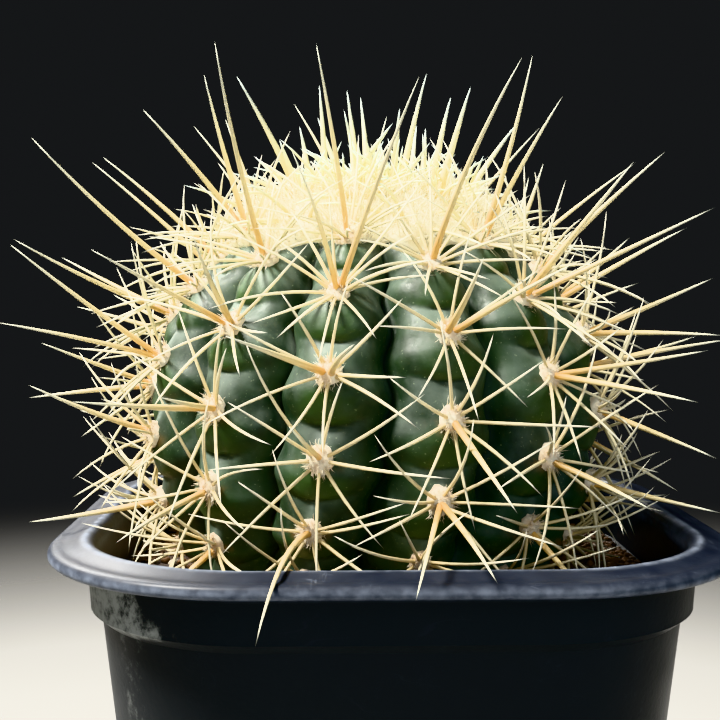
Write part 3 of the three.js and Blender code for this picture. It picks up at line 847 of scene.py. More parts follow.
@dataclass
class Wiring:
    """Short calls for building one node tree."""

    tree: bpy.types.NodeTree

    def node(self, kind: str, *sources: object, **settings: object) -> Node:
        """Adds a node.

        Args:
            kind: The node's type name.
            sources: What feeds its first inputs, in their order.
            settings: Options of the node, such as operation.

        Returns:
            The node.
        """
        made = self.tree.nodes.new(kind)
        for name, value in settings.items():
            setattr(made, name, value)
        for socket, source in zip(made.inputs, sources):
            self.feed(socket, source)
        return made

    def feed(self, socket: Socket, source: object) -> None:
        """Links a source socket to an input, or sets a plain value on it.

        Args:
            socket: The input.
            source: A socket, a number or a colour.
        """
        if isinstance(source, Socket):
            self.tree.links.new(source, socket)
        else:
            socket.default_value = source

    def fill(self, node: Node, **sources: object) -> Node:
        """Feeds a node's inputs by name.

        Args:
            node: The node.
            sources: What feeds each input, by its name with underscores for spaces.

        Returns:
            The same node.
        """
        for name, source in sources.items():
            self.feed(node.inputs[name.replace("_", " ")], source)
        return node

    def maths(self, operation: str, first: object, second: object, clamp: bool = False) -> Socket:
        """Works out a result from two sockets or numbers, and may keep it between 0 and 1."""
        return self.node("ShaderNodeMath", first, second, operation=operation, use_clamp=clamp).outputs[0]

    def times(self, first: object, second: object) -> Socket:
        """Multiplies two sockets or numbers."""
        return self.maths("MULTIPLY", first, second)

    def plus(self, first: object, second: object) -> Socket:
        """Adds two sockets or numbers."""
        return self.maths("ADD", first, second)

    def larger(self, first: object, second: object) -> Socket:
        """Takes the larger of two sockets or numbers."""
        return self.maths("MAXIMUM", first, second)

    def off(self, value: Socket, middle: float) -> Socket:
        """Takes how far a value lies from a middle, on either side."""
        return self.maths("ABSOLUTE", self.maths("SUBTRACT", value, middle), 0.0)

    def span(
        self, value: Socket, low: object, high: object, out_low: float = 0.0, out_high: float = 1.0
    ) -> Socket:
        """Maps the range from low to high smoothly to the range from out_low to out_high."""
        ends = (low, high, out_low, out_high)
        return self.node("ShaderNodeMapRange", value, *ends, interpolation_type="SMOOTHSTEP").outputs[0]

    def blend(self, share: object, first: object, second: object) -> Socket:
        """Mixes two colours.

        Args:
            share: Share of the second colour.
            first: The first colour.
            second: The second colour.

        Returns:
            The mixed colour.
        """
        made = self.node("ShaderNodeMix", share, data_type="RGBA")
        self.feed(made.inputs[6], first)
        self.feed(made.inputs[7], second)
        return made.outputs[2]

    def paint(self, under: Socket, colour: Colour, mask: Socket, share: float) -> Socket:
        """Lays a share of a colour over what is there, where a mask shows."""
        return self.blend(self.times(mask, share), under, colour)

    def noise(
        self, scale: float, detail: float, stretch: Triple = (1, 1, 1), rough: float = 0.55
    ) -> Socket:
        """Adds noise over the object's own coordinates.

        Args:
            scale: Cycles per metre.
            detail: How many finer layers it has.
            stretch: How much closer the cycles stand along X, Y and Z.
            rough: Strength of each finer layer against the one before.

        Returns:
            The noise, around 0.5.
        """
        place = self.node("ShaderNodeTexCoord").outputs["Object"]
        mapping = self.fill(self.node("ShaderNodeMapping", place), Scale=stretch)
        made = self.node("ShaderNodeTexNoise", mapping.outputs[0])
        return self.fill(made, Scale=scale, Detail=detail, Roughness=rough).outputs[0]

    def value(self, name: str) -> Socket:
        """Reads one of the mesh's own values."""
        return self.node("ShaderNodeAttribute", attribute_name=name).outputs["Fac"]

    def group(self, shared: bpy.types.NodeTree, **values: float) -> Socket:
        """Places a shared node group with its own values, and takes what it puts out."""
        return self.fill(self.node("ShaderNodeGroup", node_tree=shared), **values).outputs[0]

    def relief(self, height: Socket, strength: float, depth: float) -> Socket:
        """Turns a height into the normal of a fine relief, with its depth in metres."""
        made = self.fill(self.node("ShaderNodeBump"), Strength=strength, Distance=depth, Height=height)
        return made.outputs[0]


@dataclass
class SharedEffects:
    """Node groups that more than one finish uses, each built once."""

    def __post_init__(self) -> None:
        """Builds the groups."""
        self.mottle = self.make_group("mottle", self.wire_mottle, Scale=60.0, Low=0.35, High=0.65)
        self.dust = self.make_group("dust film", self.wire_dust, Scale=220.0, Amount=0.5, Settles=0.5)
        self.grain = self.make_group("fine grain", self.wire_grain, Scale=1500.0, Coarse=0.5)

    def make_group(
        self, name: str, wire: Callable[[Wiring, Node], Socket], **inputs: float
    ) -> bpy.types.NodeTree:
        """Makes a group that puts out one value.

        Args:
            name: The group's name.
            wire: Builds the inside and returns the socket to put out.
            inputs: Its value inputs with their usual values.

        Returns:
            The group.
        """
        tree = bpy.data.node_groups.new(name, "ShaderNodeTree")
        for key, usual in inputs.items():
            socket = tree.interface.new_socket(name=key, in_out="INPUT", socket_type="NodeSocketFloat")
            socket.default_value = usual
        tree.interface.new_socket(name="Mask", in_out="OUTPUT", socket_type="NodeSocketFloat")
        wiring = Wiring(tree)
        wiring.node("NodeGroupOutput", wire(wiring, wiring.node("NodeGroupInput")))
        return tree

    def scaled_noise(self, wiring: Wiring, scale: Socket, detail: float) -> Socket:
        """Adds noise over object coordinates at a scale that comes from a socket."""
        made = wiring.node("ShaderNodeTexNoise", wiring.node("ShaderNodeTexCoord").outputs["Object"])
        return wiring.fill(made, Scale=scale, Detail=detail).outputs[0]

    def wire_mottle(self, wiring: Wiring, entry: Node) -> Socket:
        """Wires soft cloudy patches between a low and a high noise value."""
        cloud = self.scaled_noise(wiring, entry.outputs["Scale"], 4.0)
        return wiring.span(cloud, entry.outputs["Low"], entry.outputs["High"])

    def wire_dust(self, wiring: Wiring, entry: Node) -> Socket:
        """Wires uneven dust that lies thicker on faces turned up.

        Args:
            wiring: The group's wiring.
            entry: Its inputs.

        Returns:
            The dust.
        """
        patches = self.scaled_noise(wiring, entry.outputs["Scale"], 6.0)
        normal = wiring.node("ShaderNodeNewGeometry").outputs["Normal"]
        upward = wiring.span(wiring.node("ShaderNodeSeparateXYZ", normal).outputs[2], -0.2, 1.0)
        settled = wiring.times(upward, entry.outputs["Settles"])
        spread = wiring.span(wiring.plus(patches, settled), 0.45, 0.95)
        return wiring.maths("MULTIPLY", spread, entry.outputs["Amount"], clamp=True)

    def wire_grain(self, wiring: Wiring, entry: Node) -> Socket:
        """Wires fine surface grain with a coarser share under it.

        Args:
            wiring: The group's wiring.
            entry: Its inputs.

        Returns:
            The grain's height.
        """
        fine = self.scaled_noise(wiring, entry.outputs["Scale"], 5.0)
        wider = wiring.times(entry.outputs["Scale"], 0.12)
        coarse = self.scaled_noise(wiring, wider, 3.0)
        return wiring.plus(fine, wiring.times(coarse, entry.outputs["Coarse"]))


def new_material(name: str) -> tuple[Material, Wiring, Node]:
    """Makes an empty material with a Principled shader.

    Args:
        name: The finish's name.

    Returns:
        The material, its wiring and its Principled node.
    """
    material = bpy.data.materials.new(name)
    material.use_nodes = True
    material.node_tree.nodes.clear()
    wiring = Wiring(material.node_tree)
    shader = wiring.node("ShaderNodeBsdfPrincipled")
    wiring.node("ShaderNodeOutputMaterial", shader.outputs[0])
    return material, wiring, shader


# Finishes: scales are in cycles per metre, and a share says how much a layer covers those below it


@dataclass(frozen=True)
class SkinFinish:
    """Waxy green skin: dark flanks, brighter chins, a pale bloom above the areoles that is partly a painted
    highlight, painted highlights on the crests, painted shade in furrows and creases, cork at old areoles.
    """

    deep: Colour = srgb(29, 44, 31)
    green: Colour = srgb(50, 68, 49)
    bright: Colour = srgb(48, 74, 26)
    bloom_and_highlight: Colour = srgb(118, 131, 122)
    # Near-black colour of the painted shade in furrows and creases.
    crease: Colour = srgb(7, 12, 8)
    cork: Colour = srgb(122, 92, 58)
    speck: Colour = srgb(170, 185, 150)
    patch_scale: float = 110.0
    fine_scale: float = 900.0
    dust_scale: float = 420.0
    speck_scale: float = 2600.0
    cork_scale: float = 500.0
    pore_scale: float = 2200.0
    chin_share: float = 0.6
    bloom_and_highlight_share: float = 0.42
    # Share of the painted highlight laid along the crests.
    crest_share: float = 0.55
    speck_share: float = 0.32
    furrow_shade_share: float = 0.86
    dust_share: float = 0.26
    gloss: float = 0.36
    roughness: Pair = (0.48, 0.62)
    dull_bloom: float = 0.14
    dull_furrow: float = 0.4
    pore_depth: float = 0.00008

    def make(self, effects: SharedEffects) -> Material:
        """Builds the material.

        Args:
            effects: The shared node groups.

        Returns:
            The material.
        """
        material, wiring, shader = new_material("cactus skin")
        patches = wiring.group(effects.mottle, Scale=self.patch_scale, Low=0.38, High=0.66)
        fine = wiring.group(effects.mottle, Scale=self.fine_scale, Low=0.42, High=0.7)
        colour = wiring.blend(patches, self.deep, self.green)
        chin = wiring.times(wiring.value("chin"), wiring.span(fine, 0, 1, 0.75, 1.0))
        colour = wiring.paint(colour, self.bright, chin, self.chin_share)
        # Pale bloom colour on the ramps and lips below each crease: partly waxy bloom, partly a painted
        # highlight where these faces turn up.
        bloom_and_highlight = wiring.times(wiring.value("bloom_and_highlight"), wiring.span(patches, 0, 1, 0.55, 1.0))
        colour = wiring.paint(colour, self.bloom_and_highlight, bloom_and_highlight, self.bloom_and_highlight_share)
        dusty = wiring.group(effects.dust, Scale=self.dust_scale, Amount=self.dust_share, Settles=0.45)
        colour = wiring.blend(dusty, colour, self.bloom_and_highlight)
        # Painted highlight: the pale bloom colour laid along the crest above each areole.
        crest = wiring.times(wiring.value("crest"), wiring.span(fine, 0, 1, 0.5, 1.0))
        colour = wiring.paint(colour, self.bloom_and_highlight, crest, self.crest_share)
        specks = wiring.span(wiring.noise(self.speck_scale, 2), 0.66, 0.76)
        colour = wiring.paint(colour, self.speck, specks, self.speck_share)
        cork = wiring.times(wiring.value("cork"), wiring.span(wiring.noise(self.cork_scale, 4), 0.42, 0.6))
        colour = wiring.blend(cork, colour, self.cork)
        # Painted shade: the near-black crease colour laid in the furrows and creases, where shadow falls.
        furrow = wiring.value("furrow")
        colour = wiring.paint(colour, self.crease, furrow, self.furrow_shade_share)
        dull = wiring.times(wiring.plus(cork, bloom_and_highlight), self.dull_bloom)
        dull = wiring.plus(dull, wiring.times(furrow, self.dull_furrow))
        rough = wiring.plus(wiring.span(fine, 0, 1, *self.roughness), dull)
        pores = wiring.group(effects.grain, Scale=self.pore_scale, Coarse=1.2)
        normal = wiring.relief(pores, 0.35, self.pore_depth)
        wiring.fill(shader, Base_Color=colour, Roughness=rough, Specular_IOR_Level=self.gloss, Normal=normal)
        return material


@dataclass(frozen=True)
class SpineFinish:
    """Straw-coloured spines, from their root colour through a middle colour to the tip."""

    name: str
    root: Colour
    middle: Colour
    tip: Colour
    old: Colour
    middle_at: float = 0.35
    streak_scale: float = 900.0
    streak_stray: float = 0.16
    grain_scale: float = 3000.0
    tones: Pair = (0.8, 1.12)
    roughness: Pair = (0.34, 0.5)
    grain_depth: float = 0.00004

    def make(self, effects: SharedEffects) -> Material:
        """Builds the material.

        Args:
            effects: The shared node groups.

        Returns:
            The material.
        """
        material, wiring, shader = new_material(self.name)
        along = wiring.value("along")
        streaks = wiring.noise(self.streak_scale, 3, (1, 1, 0.35))
        stray = wiring.times(wiring.maths("SUBTRACT", streaks, 0.5), self.streak_stray)
        shifted = wiring.plus(along, stray)
        lower = wiring.blend(wiring.span(shifted, 0.0, self.middle_at), self.root, self.middle)
        colour = wiring.blend(wiring.span(shifted, self.middle_at, 1.0), lower, self.tip)
        aged = wiring.times(wiring.value("age"), wiring.span(along, 0.0, 0.9, 0.55, 0.15))
        colour = wiring.blend(aged, colour, self.old)
        tone = wiring.span(wiring.value("tone"), 0, 1, *self.tones)
        toned = wiring.fill(wiring.node("ShaderNodeHueSaturation"), Color=colour, Value=tone)
        rough = wiring.span(streaks, 0.3, 0.7, *self.roughness)
        grain = wiring.group(effects.grain, Scale=self.grain_scale, Coarse=0.6)
        normal = wiring.relief(grain, 0.25, self.grain_depth)
        wiring.fill(shader, Base_Color=toned.outputs[0], Roughness=rough, Normal=normal)
        return material


@dataclass(frozen=True)
class FeltFinish:
    """Woolly felt, cream when young and tan to brown when old."""

    name: str
    young: Colour = srgb(246, 238, 216)
    warm: Colour = srgb(232, 206, 172)
    old: Colour = srgb(176, 138, 100)
    patch_scale: float = 700.0
    warm_share: float = 0.6
    aged: Pair = (0.4, 1.3)
    roughness: float = 0.9
    sheen: float = 0.3
    nap_scale: float = 4000.0
    nap_depth: float = 0.0001

    def make(self, effects: SharedEffects) -> Material:
        """Builds the material.

        Args:
            effects: The shared node groups.

        Returns:
            The material.
        """
        material, wiring, shader = new_material(self.name)
        patches = wiring.group(effects.mottle, Scale=self.patch_scale, Low=0.4, High=0.62)
        colour = wiring.blend(wiring.times(patches, self.warm_share), self.young, self.warm)
        tips = wiring.span(wiring.value("along"), 0.0, 1.0, 0.8, 0.0)
        aged = wiring.times(wiring.span(wiring.value("age"), *self.aged), tips)
        colour = wiring.blend(aged, colour, self.old)
        nap = wiring.group(effects.grain, Scale=self.nap_scale, Coarse=0.8)
        normal = wiring.relief(nap, 0.5, self.nap_depth)
        wiring.fill(shader, Base_Color=colour, Roughness=self.roughness, Normal=normal)
        wiring.fill(shader, Sheen_Weight=self.sheen)
        return material


@dataclass(frozen=True)
class PotFinish:
    """Black nursery-pot plastic: a dusty rim tinted darker and bluer as a painted reflection, painted
    highlights on the rim's edges, fine scratches and whitish lime below the collar.

    A pair for a layer gives how much of it shows, at the least and at the most.
    """

    black: Colour = srgb(36, 39, 42)
    rim_reflection_tint: Colour = srgb(20, 23, 32)
    # Pale colour of the dust and scratches, also used for the painted highlights on the rim's edges.
    dust: Colour = srgb(150, 160, 178)
    lime: Colour = srgb(164, 168, 164)
    patch_scale: float = 45.0
    dust_scale: float = 260.0
    highlight_patch_scale: float = 620.0
    crust_scale: float = 460.0
    grain_scale: float = 1400.0
    film: Pair = (0.01, 0.06)
    highlight_patchiness: Pair = (0.25, 0.62)
    scratched: Pair = (0.015, 0.14)
    scratch_scales: Pair = (55.0, 60.0)
    scratch_widths: Pair = (0.012, 0.01)
    break_scale: float = 130.0
    lime_share: float = 0.75
    lime_height: float = 1.5
    roughness: Pair = (0.36, 0.48)
    dull_marks: float = 0.3
    dull_lime: float = 0.4
    gloss: float = 0.12
    rim_coat: float = 0.13
    coat_roughness: float = 0.34
    grain_depth: float = 0.0001

    def make(self, effects: SharedEffects) -> Material:
        """Builds the material.

        Args:
            effects: The shared node groups.

        Returns:
            The material.
        """
        material, wiring, shader = new_material("pot plastic")
        patches = wiring.group(effects.mottle, Scale=self.patch_scale, Low=0.35, High=0.7)
        # Painted reflection: the rim is tinted darker and bluer than the wall.
        colour = wiring.blend(wiring.value("rim"), self.black, self.rim_reflection_tint)
        scratches = self.scratches(wiring)
        dust = wiring.group(effects.dust, Scale=self.dust_scale, Amount=0.5, Settles=0.3)
        film = wiring.times(dust, wiring.span(wiring.value("rim"), 0, 1, *self.film))
        # Painted highlights on the rim's lip edge and inner crest, broken up by noise, in the pale dust
        # colour.
        highlight_patchiness = wiring.span(wiring.noise(self.highlight_patch_scale, 7), 0.3, 0.7, *self.highlight_patchiness)
        painted_edge_highlight = wiring.times(wiring.value("painted_edge_highlight"), highlight_patchiness)
        dust_scratches_and_highlights = wiring.larger(wiring.larger(film, painted_edge_highlight), scratches)
        colour = wiring.blend(dust_scratches_and_highlights, colour, self.dust)
        spread = wiring.times(wiring.value("lime"), 0.3)
        flakes = wiring.noise(self.crust_scale, 8, (1, 1, 0.85), 0.75)
        crust = wiring.span(wiring.plus(flakes, spread), 0.62, 0.86)
        lime = wiring.times(wiring.value("lime"), crust)
        colour = wiring.paint(colour, self.lime, lime, self.lime_share)
        rough = wiring.plus(wiring.span(patches, 0, 1, *self.roughness), wiring.times(dust_scratches_and_highlights, self.dull_marks))
        rough = wiring.maths("ADD", rough, wiring.times(lime, self.dull_lime), clamp=True)
        coat = wiring.span(wiring.value("rim"), 0, 1, 0.0, self.rim_coat)
        grain = wiring.group(effects.grain, Scale=self.grain_scale, Coarse=0.5)
        height = wiring.plus(grain, wiring.times(lime, self.lime_height))
        normal = wiring.relief(height, 0.3, self.grain_depth)
        wiring.fill(shader, Base_Color=colour, Roughness=rough, Specular_IOR_Level=self.gloss, Normal=normal)
        wiring.fill(shader, Coat_Weight=coat, Coat_Roughness=self.coat_roughness)
        return material

    def scratches(self, wiring: Wiring) -> Socket:
        """Wires thin pale scratches in a few directions.

        Args:
            wiring: The material's wiring.

        Returns:
            Where they show.
        """
        long = wiring.noise(self.scratch_scales[0], 1, (1, 22, 6))
        short = wiring.noise(self.scratch_scales[1], 1, (20, 1, 9))
        first = wiring.span(wiring.off(long, 0.5), 0.0, self.scratch_widths[0], 1, 0)
        second = wiring.span(wiring.off(short, 0.52), 0.0, self.scratch_widths[1], 1, 0)
        broken = wiring.span(wiring.noise(self.break_scale, 2), 0.5, 0.62)
        both = wiring.larger(first, second)
        shown = wiring.span(wiring.value("rim"), 0, 1, *self.scratched)
        return wiring.times(wiring.times(both, broken), shown)


@dataclass(frozen=True)
class CrumbFinish:
    """Potting mix: dark peat, brown bark or pale grit, told apart by each crumb's tone."""

    name: str
    dark: Colour
    light: Colour
    roughness: float
    patch_scale: float = 600.0
    grain_scale: float = 1800.0
    grain_depth: float = 0.0003

    def make(self, effects: SharedEffects) -> Material:
        """Builds the material.

        Args:
            effects: The shared node groups.

        Returns:
            The material.
        """
        material, wiring, shader = new_material(self.name)
        patches = wiring.group(effects.mottle, Scale=self.patch_scale, Low=0.35, High=0.65)
        share = wiring.times(wiring.plus(patches, wiring.value("tone")), 0.5)
        colour = wiring.blend(share, self.dark, self.light)
        grain = wiring.group(effects.grain, Scale=self.grain_scale, Coarse=1.5)
        normal = wiring.relief(grain, 0.8, self.grain_depth)
        wiring.fill(shader, Base_Color=colour, Roughness=self.roughness, Normal=normal)
        return material


# Sub-assemblies


@dataclass
class Pot:
    """Square nursery pot with rounded corners: rolled rim, collar, ledge, tapering wall and drained floor.

    A pair gives the places between which a layer of dust or lime begins or ends.
    """

    height: float = 80.0
    lip_half: float = 45.0
    wall: float = 1.0
    collar_half: float = 40.1
    collar_depth: float = 9.0
    ledge_half: float = 38.4
    ledge_drop: float = 1.3
    foot_half: float = 30.6
    foot_chamfer: float = 0.8
    floor_thickness: float = 1.4
    lip_corner: float = 27.0
    corner_share: float = 0.8
    wall_corner: float = 23.0
    foot_corner: float = 14.0
    drain_radius: float = 3.2
    drain_ring: float = 19.0
    drain_count: int = 8
    drain_steps: int = 40
    rim_inset: Pair = (5.6, 6.4)
    rim_depth: Pair = (2.2, 4.0)
    lip_edge_depth: float = 1.9
    lip_edge_width: float = 0.7
    lip_crest_inset: float = 4.7
    lip_crest_width: float = 0.5
    lip_edge_highlight: float = 0.7
    crest_edge_highlight: float = 0.6
    lime_left: Pair = (22.0, 32.0)
    lime_front: Pair = (16.0, 30.0)
    patch_left: Pair = (28.0, 33.0)
    patch_front: Pair = (14.0, 24.0)
    patch_top: Pair = (2.4, 3.2)
    patch_foot: Pair = (9.4, 10.4)
    ledge_lime_rise: float = 0.6
    ledge_lime_width: float = 1.2
    streak_top: Pair = (8.0, 10.0)
    streak_aside: float = 2.5
    streak_width: float = 4.5
    streak_share: float = 0.42
    corner_cut: float = 0.25
    easings: int = 2
    sharp_angle: float = 40.0
    corner_steps: int = 22
    straight_steps: int = 8
    wall_rings: int = 10

    def ring(self, half: float, corner: float, z: float) -> Array:
        """Lays a rounded square round the pot's axis, counter-clockwise from above.

        Args:
            half: Half its width.
            corner: Its corner radius.
            z: Its height.

        Returns:
            The ring's points.
        """
        centre = half - corner
        quarter = np.linspace(0, np.pi / 2, self.corner_steps + 1)
        points = []
        for turn in range(4):
            arc = np.stack([centre + corner * np.cos(quarter), centre + corner * np.sin(quarter)], axis=1)
            run = np.linspace(1, -1, self.straight_steps + 1)[1:-1]
            straight = np.stack([run * centre, np.full(len(run), half)], axis=1)
            both = np.concatenate([arc, straight])
            c, s = math.cos(turn * math.pi / 2), math.sin(turn * math.pi / 2)
            points.append(both @ np.array([[c, s], [-s, c]]))
        flat = np.concatenate(points)
        return np.column_stack([flat, np.full(len(flat), z)])

    def wall_half(self, depth: float) -> float:
        """Half width of the wall's outer surface at a depth below the rim."""
        start = self.collar_depth + self.ledge_drop
        return lerp(self.ledge_half, self.foot_half, max(0.0, (depth - start) / (self.height - start)))

    def wall_ring(self, depth: float, inset: float) -> Triple:
        """Half width, corner radius and depth of the wall at a depth, set in from its outer surface."""
        corner = lerp(self.wall_corner, self.foot_corner, depth / self.height)
        return self.wall_half(depth) - inset, corner - inset, depth

    def rim_rings(self) -> list[Triple]:
        """Lists the rings of the rim and collar, from the collar's foot up, over and inside.

        Returns:
            Half width, corner radius and depth of each ring.
        """
        lip, collar, cut = self.lip_half, self.collar_half, self.corner_cut
        inner = collar - self.wall
        eased = np.array(
            [
                (collar - 0.3, self.collar_depth),
                (collar - 0.3, self.collar_depth - 0.3),
                (collar + 0.1, 2.9),
                (collar + 0.5, 2.5),
                (lip - 0.7, 2.6),
                (lip - 0.1, 2.2),
                (lip, 1.6),
                (lip - 0.25, 1.0),
                (lip - 0.9, 0.7),
                (lip - 2.2, 0.75),
                (lip - 3.7, 0.2),
                (lip - 4.6, 0),
                (lip - 5.4, 0.3),
                (inner, 1.2),
                (inner - 0.05, 1.6),
                (inner - 0.3, self.collar_depth),
            ]
        )
        for _ in range(self.easings):
            near = eased[:-1] * (1 - cut) + eased[1:] * cut
            far = eased[:-1] * cut + eased[1:] * (1 - cut)
            eased = np.concatenate([eased[:1], np.stack([near, far], axis=1).reshape(-1, 2), eased[-1:]])
        return [(half, self.lip_corner - (lip - half) * self.corner_share, depth) for half, depth in eased]

    def surface(self) -> Surface:
        """Builds the closed mesh of the pot without its drain holes.

        Returns:
            The surface.
        """
        ledge = self.collar_depth + self.ledge_drop
        bottom = self.height
        depths = np.linspace(bottom - self.foot_chamfer, ledge, self.wall_rings)
        outline = [(self.foot_half - self.foot_chamfer, self.foot_corner, bottom)]
        outline += [self.wall_ring(float(depth), 0) for depth in depths]
        outline += self.rim_rings()
        outline += [self.wall_ring(float(depth), self.wall) for depth in depths[::-1][:-1]]
        outline += [self.wall_ring(bottom - self.floor_thickness, self.wall)]
        rings = [self.ring(half, corner, self.height - depth) for half, corner, depth in outline]
        count = len(rings[0])
        last = (len(rings) - 1) * count
        ends = [tuple(range(count - 1, -1, -1)), tuple(range(last, last + count))]
        return Surface(np.concatenate(rings), bands(len(rings) - 1, count) + ends)

    def drill(self, piece: Piece) -> None:
        """Cuts the drain holes through the floor.

        Args:
            piece: The pot.
        """
        drills = []
        count = self.drain_steps
        steps = np.arange(count) * 2 * np.pi / count
        caps = [tuple(range(count - 1, -1, -1)), tuple(range(count, 2 * count))]
        for k in range(self.drain_count):
            angle = (k + 0.5) * 2 * math.pi / self.drain_count
            x = self.drain_ring * math.cos(angle) + self.drain_radius * np.cos(steps)
            y = self.drain_ring * math.sin(angle) + self.drain_radius * np.sin(steps)
            low = np.column_stack([x, y, np.full(count, -self.floor_thickness)])
            high = low + np.array([0, 0, self.floor_thickness * 3])
            drills.append(Surface(np.concatenate([low, high]), bands(1, count) + caps))
        cutter = placed("drain drills", mesh_of("drain drills", joined(drills)))
        cut = piece.modifiers.new("drain holes", "BOOLEAN")
        cut.object = cutter
        cut.solver = "EXACT"
        bpy.context.view_layer.update()
        drilled = piece.evaluated_get(bpy.context.evaluated_depsgraph_get())
        mesh = bpy.data.meshes.new_from_object(drilled)
        piece.modifiers.clear()
        piece.data = mesh
        bpy.data.objects.remove(cutter)

    def dress(self, piece: Piece) -> None:
        """Marks where the rim is dusty, where its outer lip edge and inner crest get painted highlights, and
        where lime has dried below the collar.

        Args:
            piece: The pot.
        """
        mesh = piece.data
        co = np.empty(len(mesh.vertices) * 3, np.float32)
        mesh.vertices.foreach_get("co", co)
        x, y, z = co.reshape(-1, 3).T / MM
        depth = self.height - z
        centre = self.lip_half - self.lip_corner
        beyond = np.maximum(np.abs(np.stack([x, y])) - centre, 0)
        inset = self.lip_corner - np.hypot(*beyond)
        rim = (1 - smooth(inset, *self.rim_inset)) * (1 - smooth(depth, *self.rim_depth))
        # Painted highlights: pale lines on the rim's outer lip edge and inner crest.
        lip_edge = bell(depth - self.lip_edge_depth, self.lip_edge_width) * rim
        crest = bell(inset - self.lip_crest_inset, self.lip_crest_width) * rim
        painted_edge_highlight = np.clip(self.lip_edge_highlight * lip_edge + self.crest_edge_highlight * crest, 0, 1)
        corner = smooth(-x, *self.lime_left) * smooth(-y, *self.lime_front)
        patch = smooth(-x, *self.patch_left) * smooth(-y, *self.patch_front)
        patch = patch * smooth(depth, *self.patch_top) * (1 - smooth(depth, *self.patch_foot))
        ledge = bell(depth - self.collar_depth + self.ledge_lime_rise, self.ledge_lime_width)
        streak = bell(x - y + self.streak_aside, self.streak_width) * smooth(depth, *self.streak_top)
        lime = np.clip(patch + ledge * corner + self.streak_share * streak * corner, 0, 1)
        write_values(mesh, {"rim": rim, "painted_edge_highlight": painted_edge_highlight, "lime": lime})

    def build(self, effects: SharedEffects) -> None:
        """Makes the pot, shaded smooth but for its sharp edges.

        Args:
            effects: The shared node groups.
        """
        piece = make_piece("pot_shell", self.surface(), PotFinish().make(effects), "pot")
        self.drill(piece)
        self.dress(piece)
        piece.data.polygons.foreach_set("use_smooth", [True] * len(piece.data.polygons))
        piece.data.set_sharp_from_angle(angle=math.radians(self.sharp_angle))


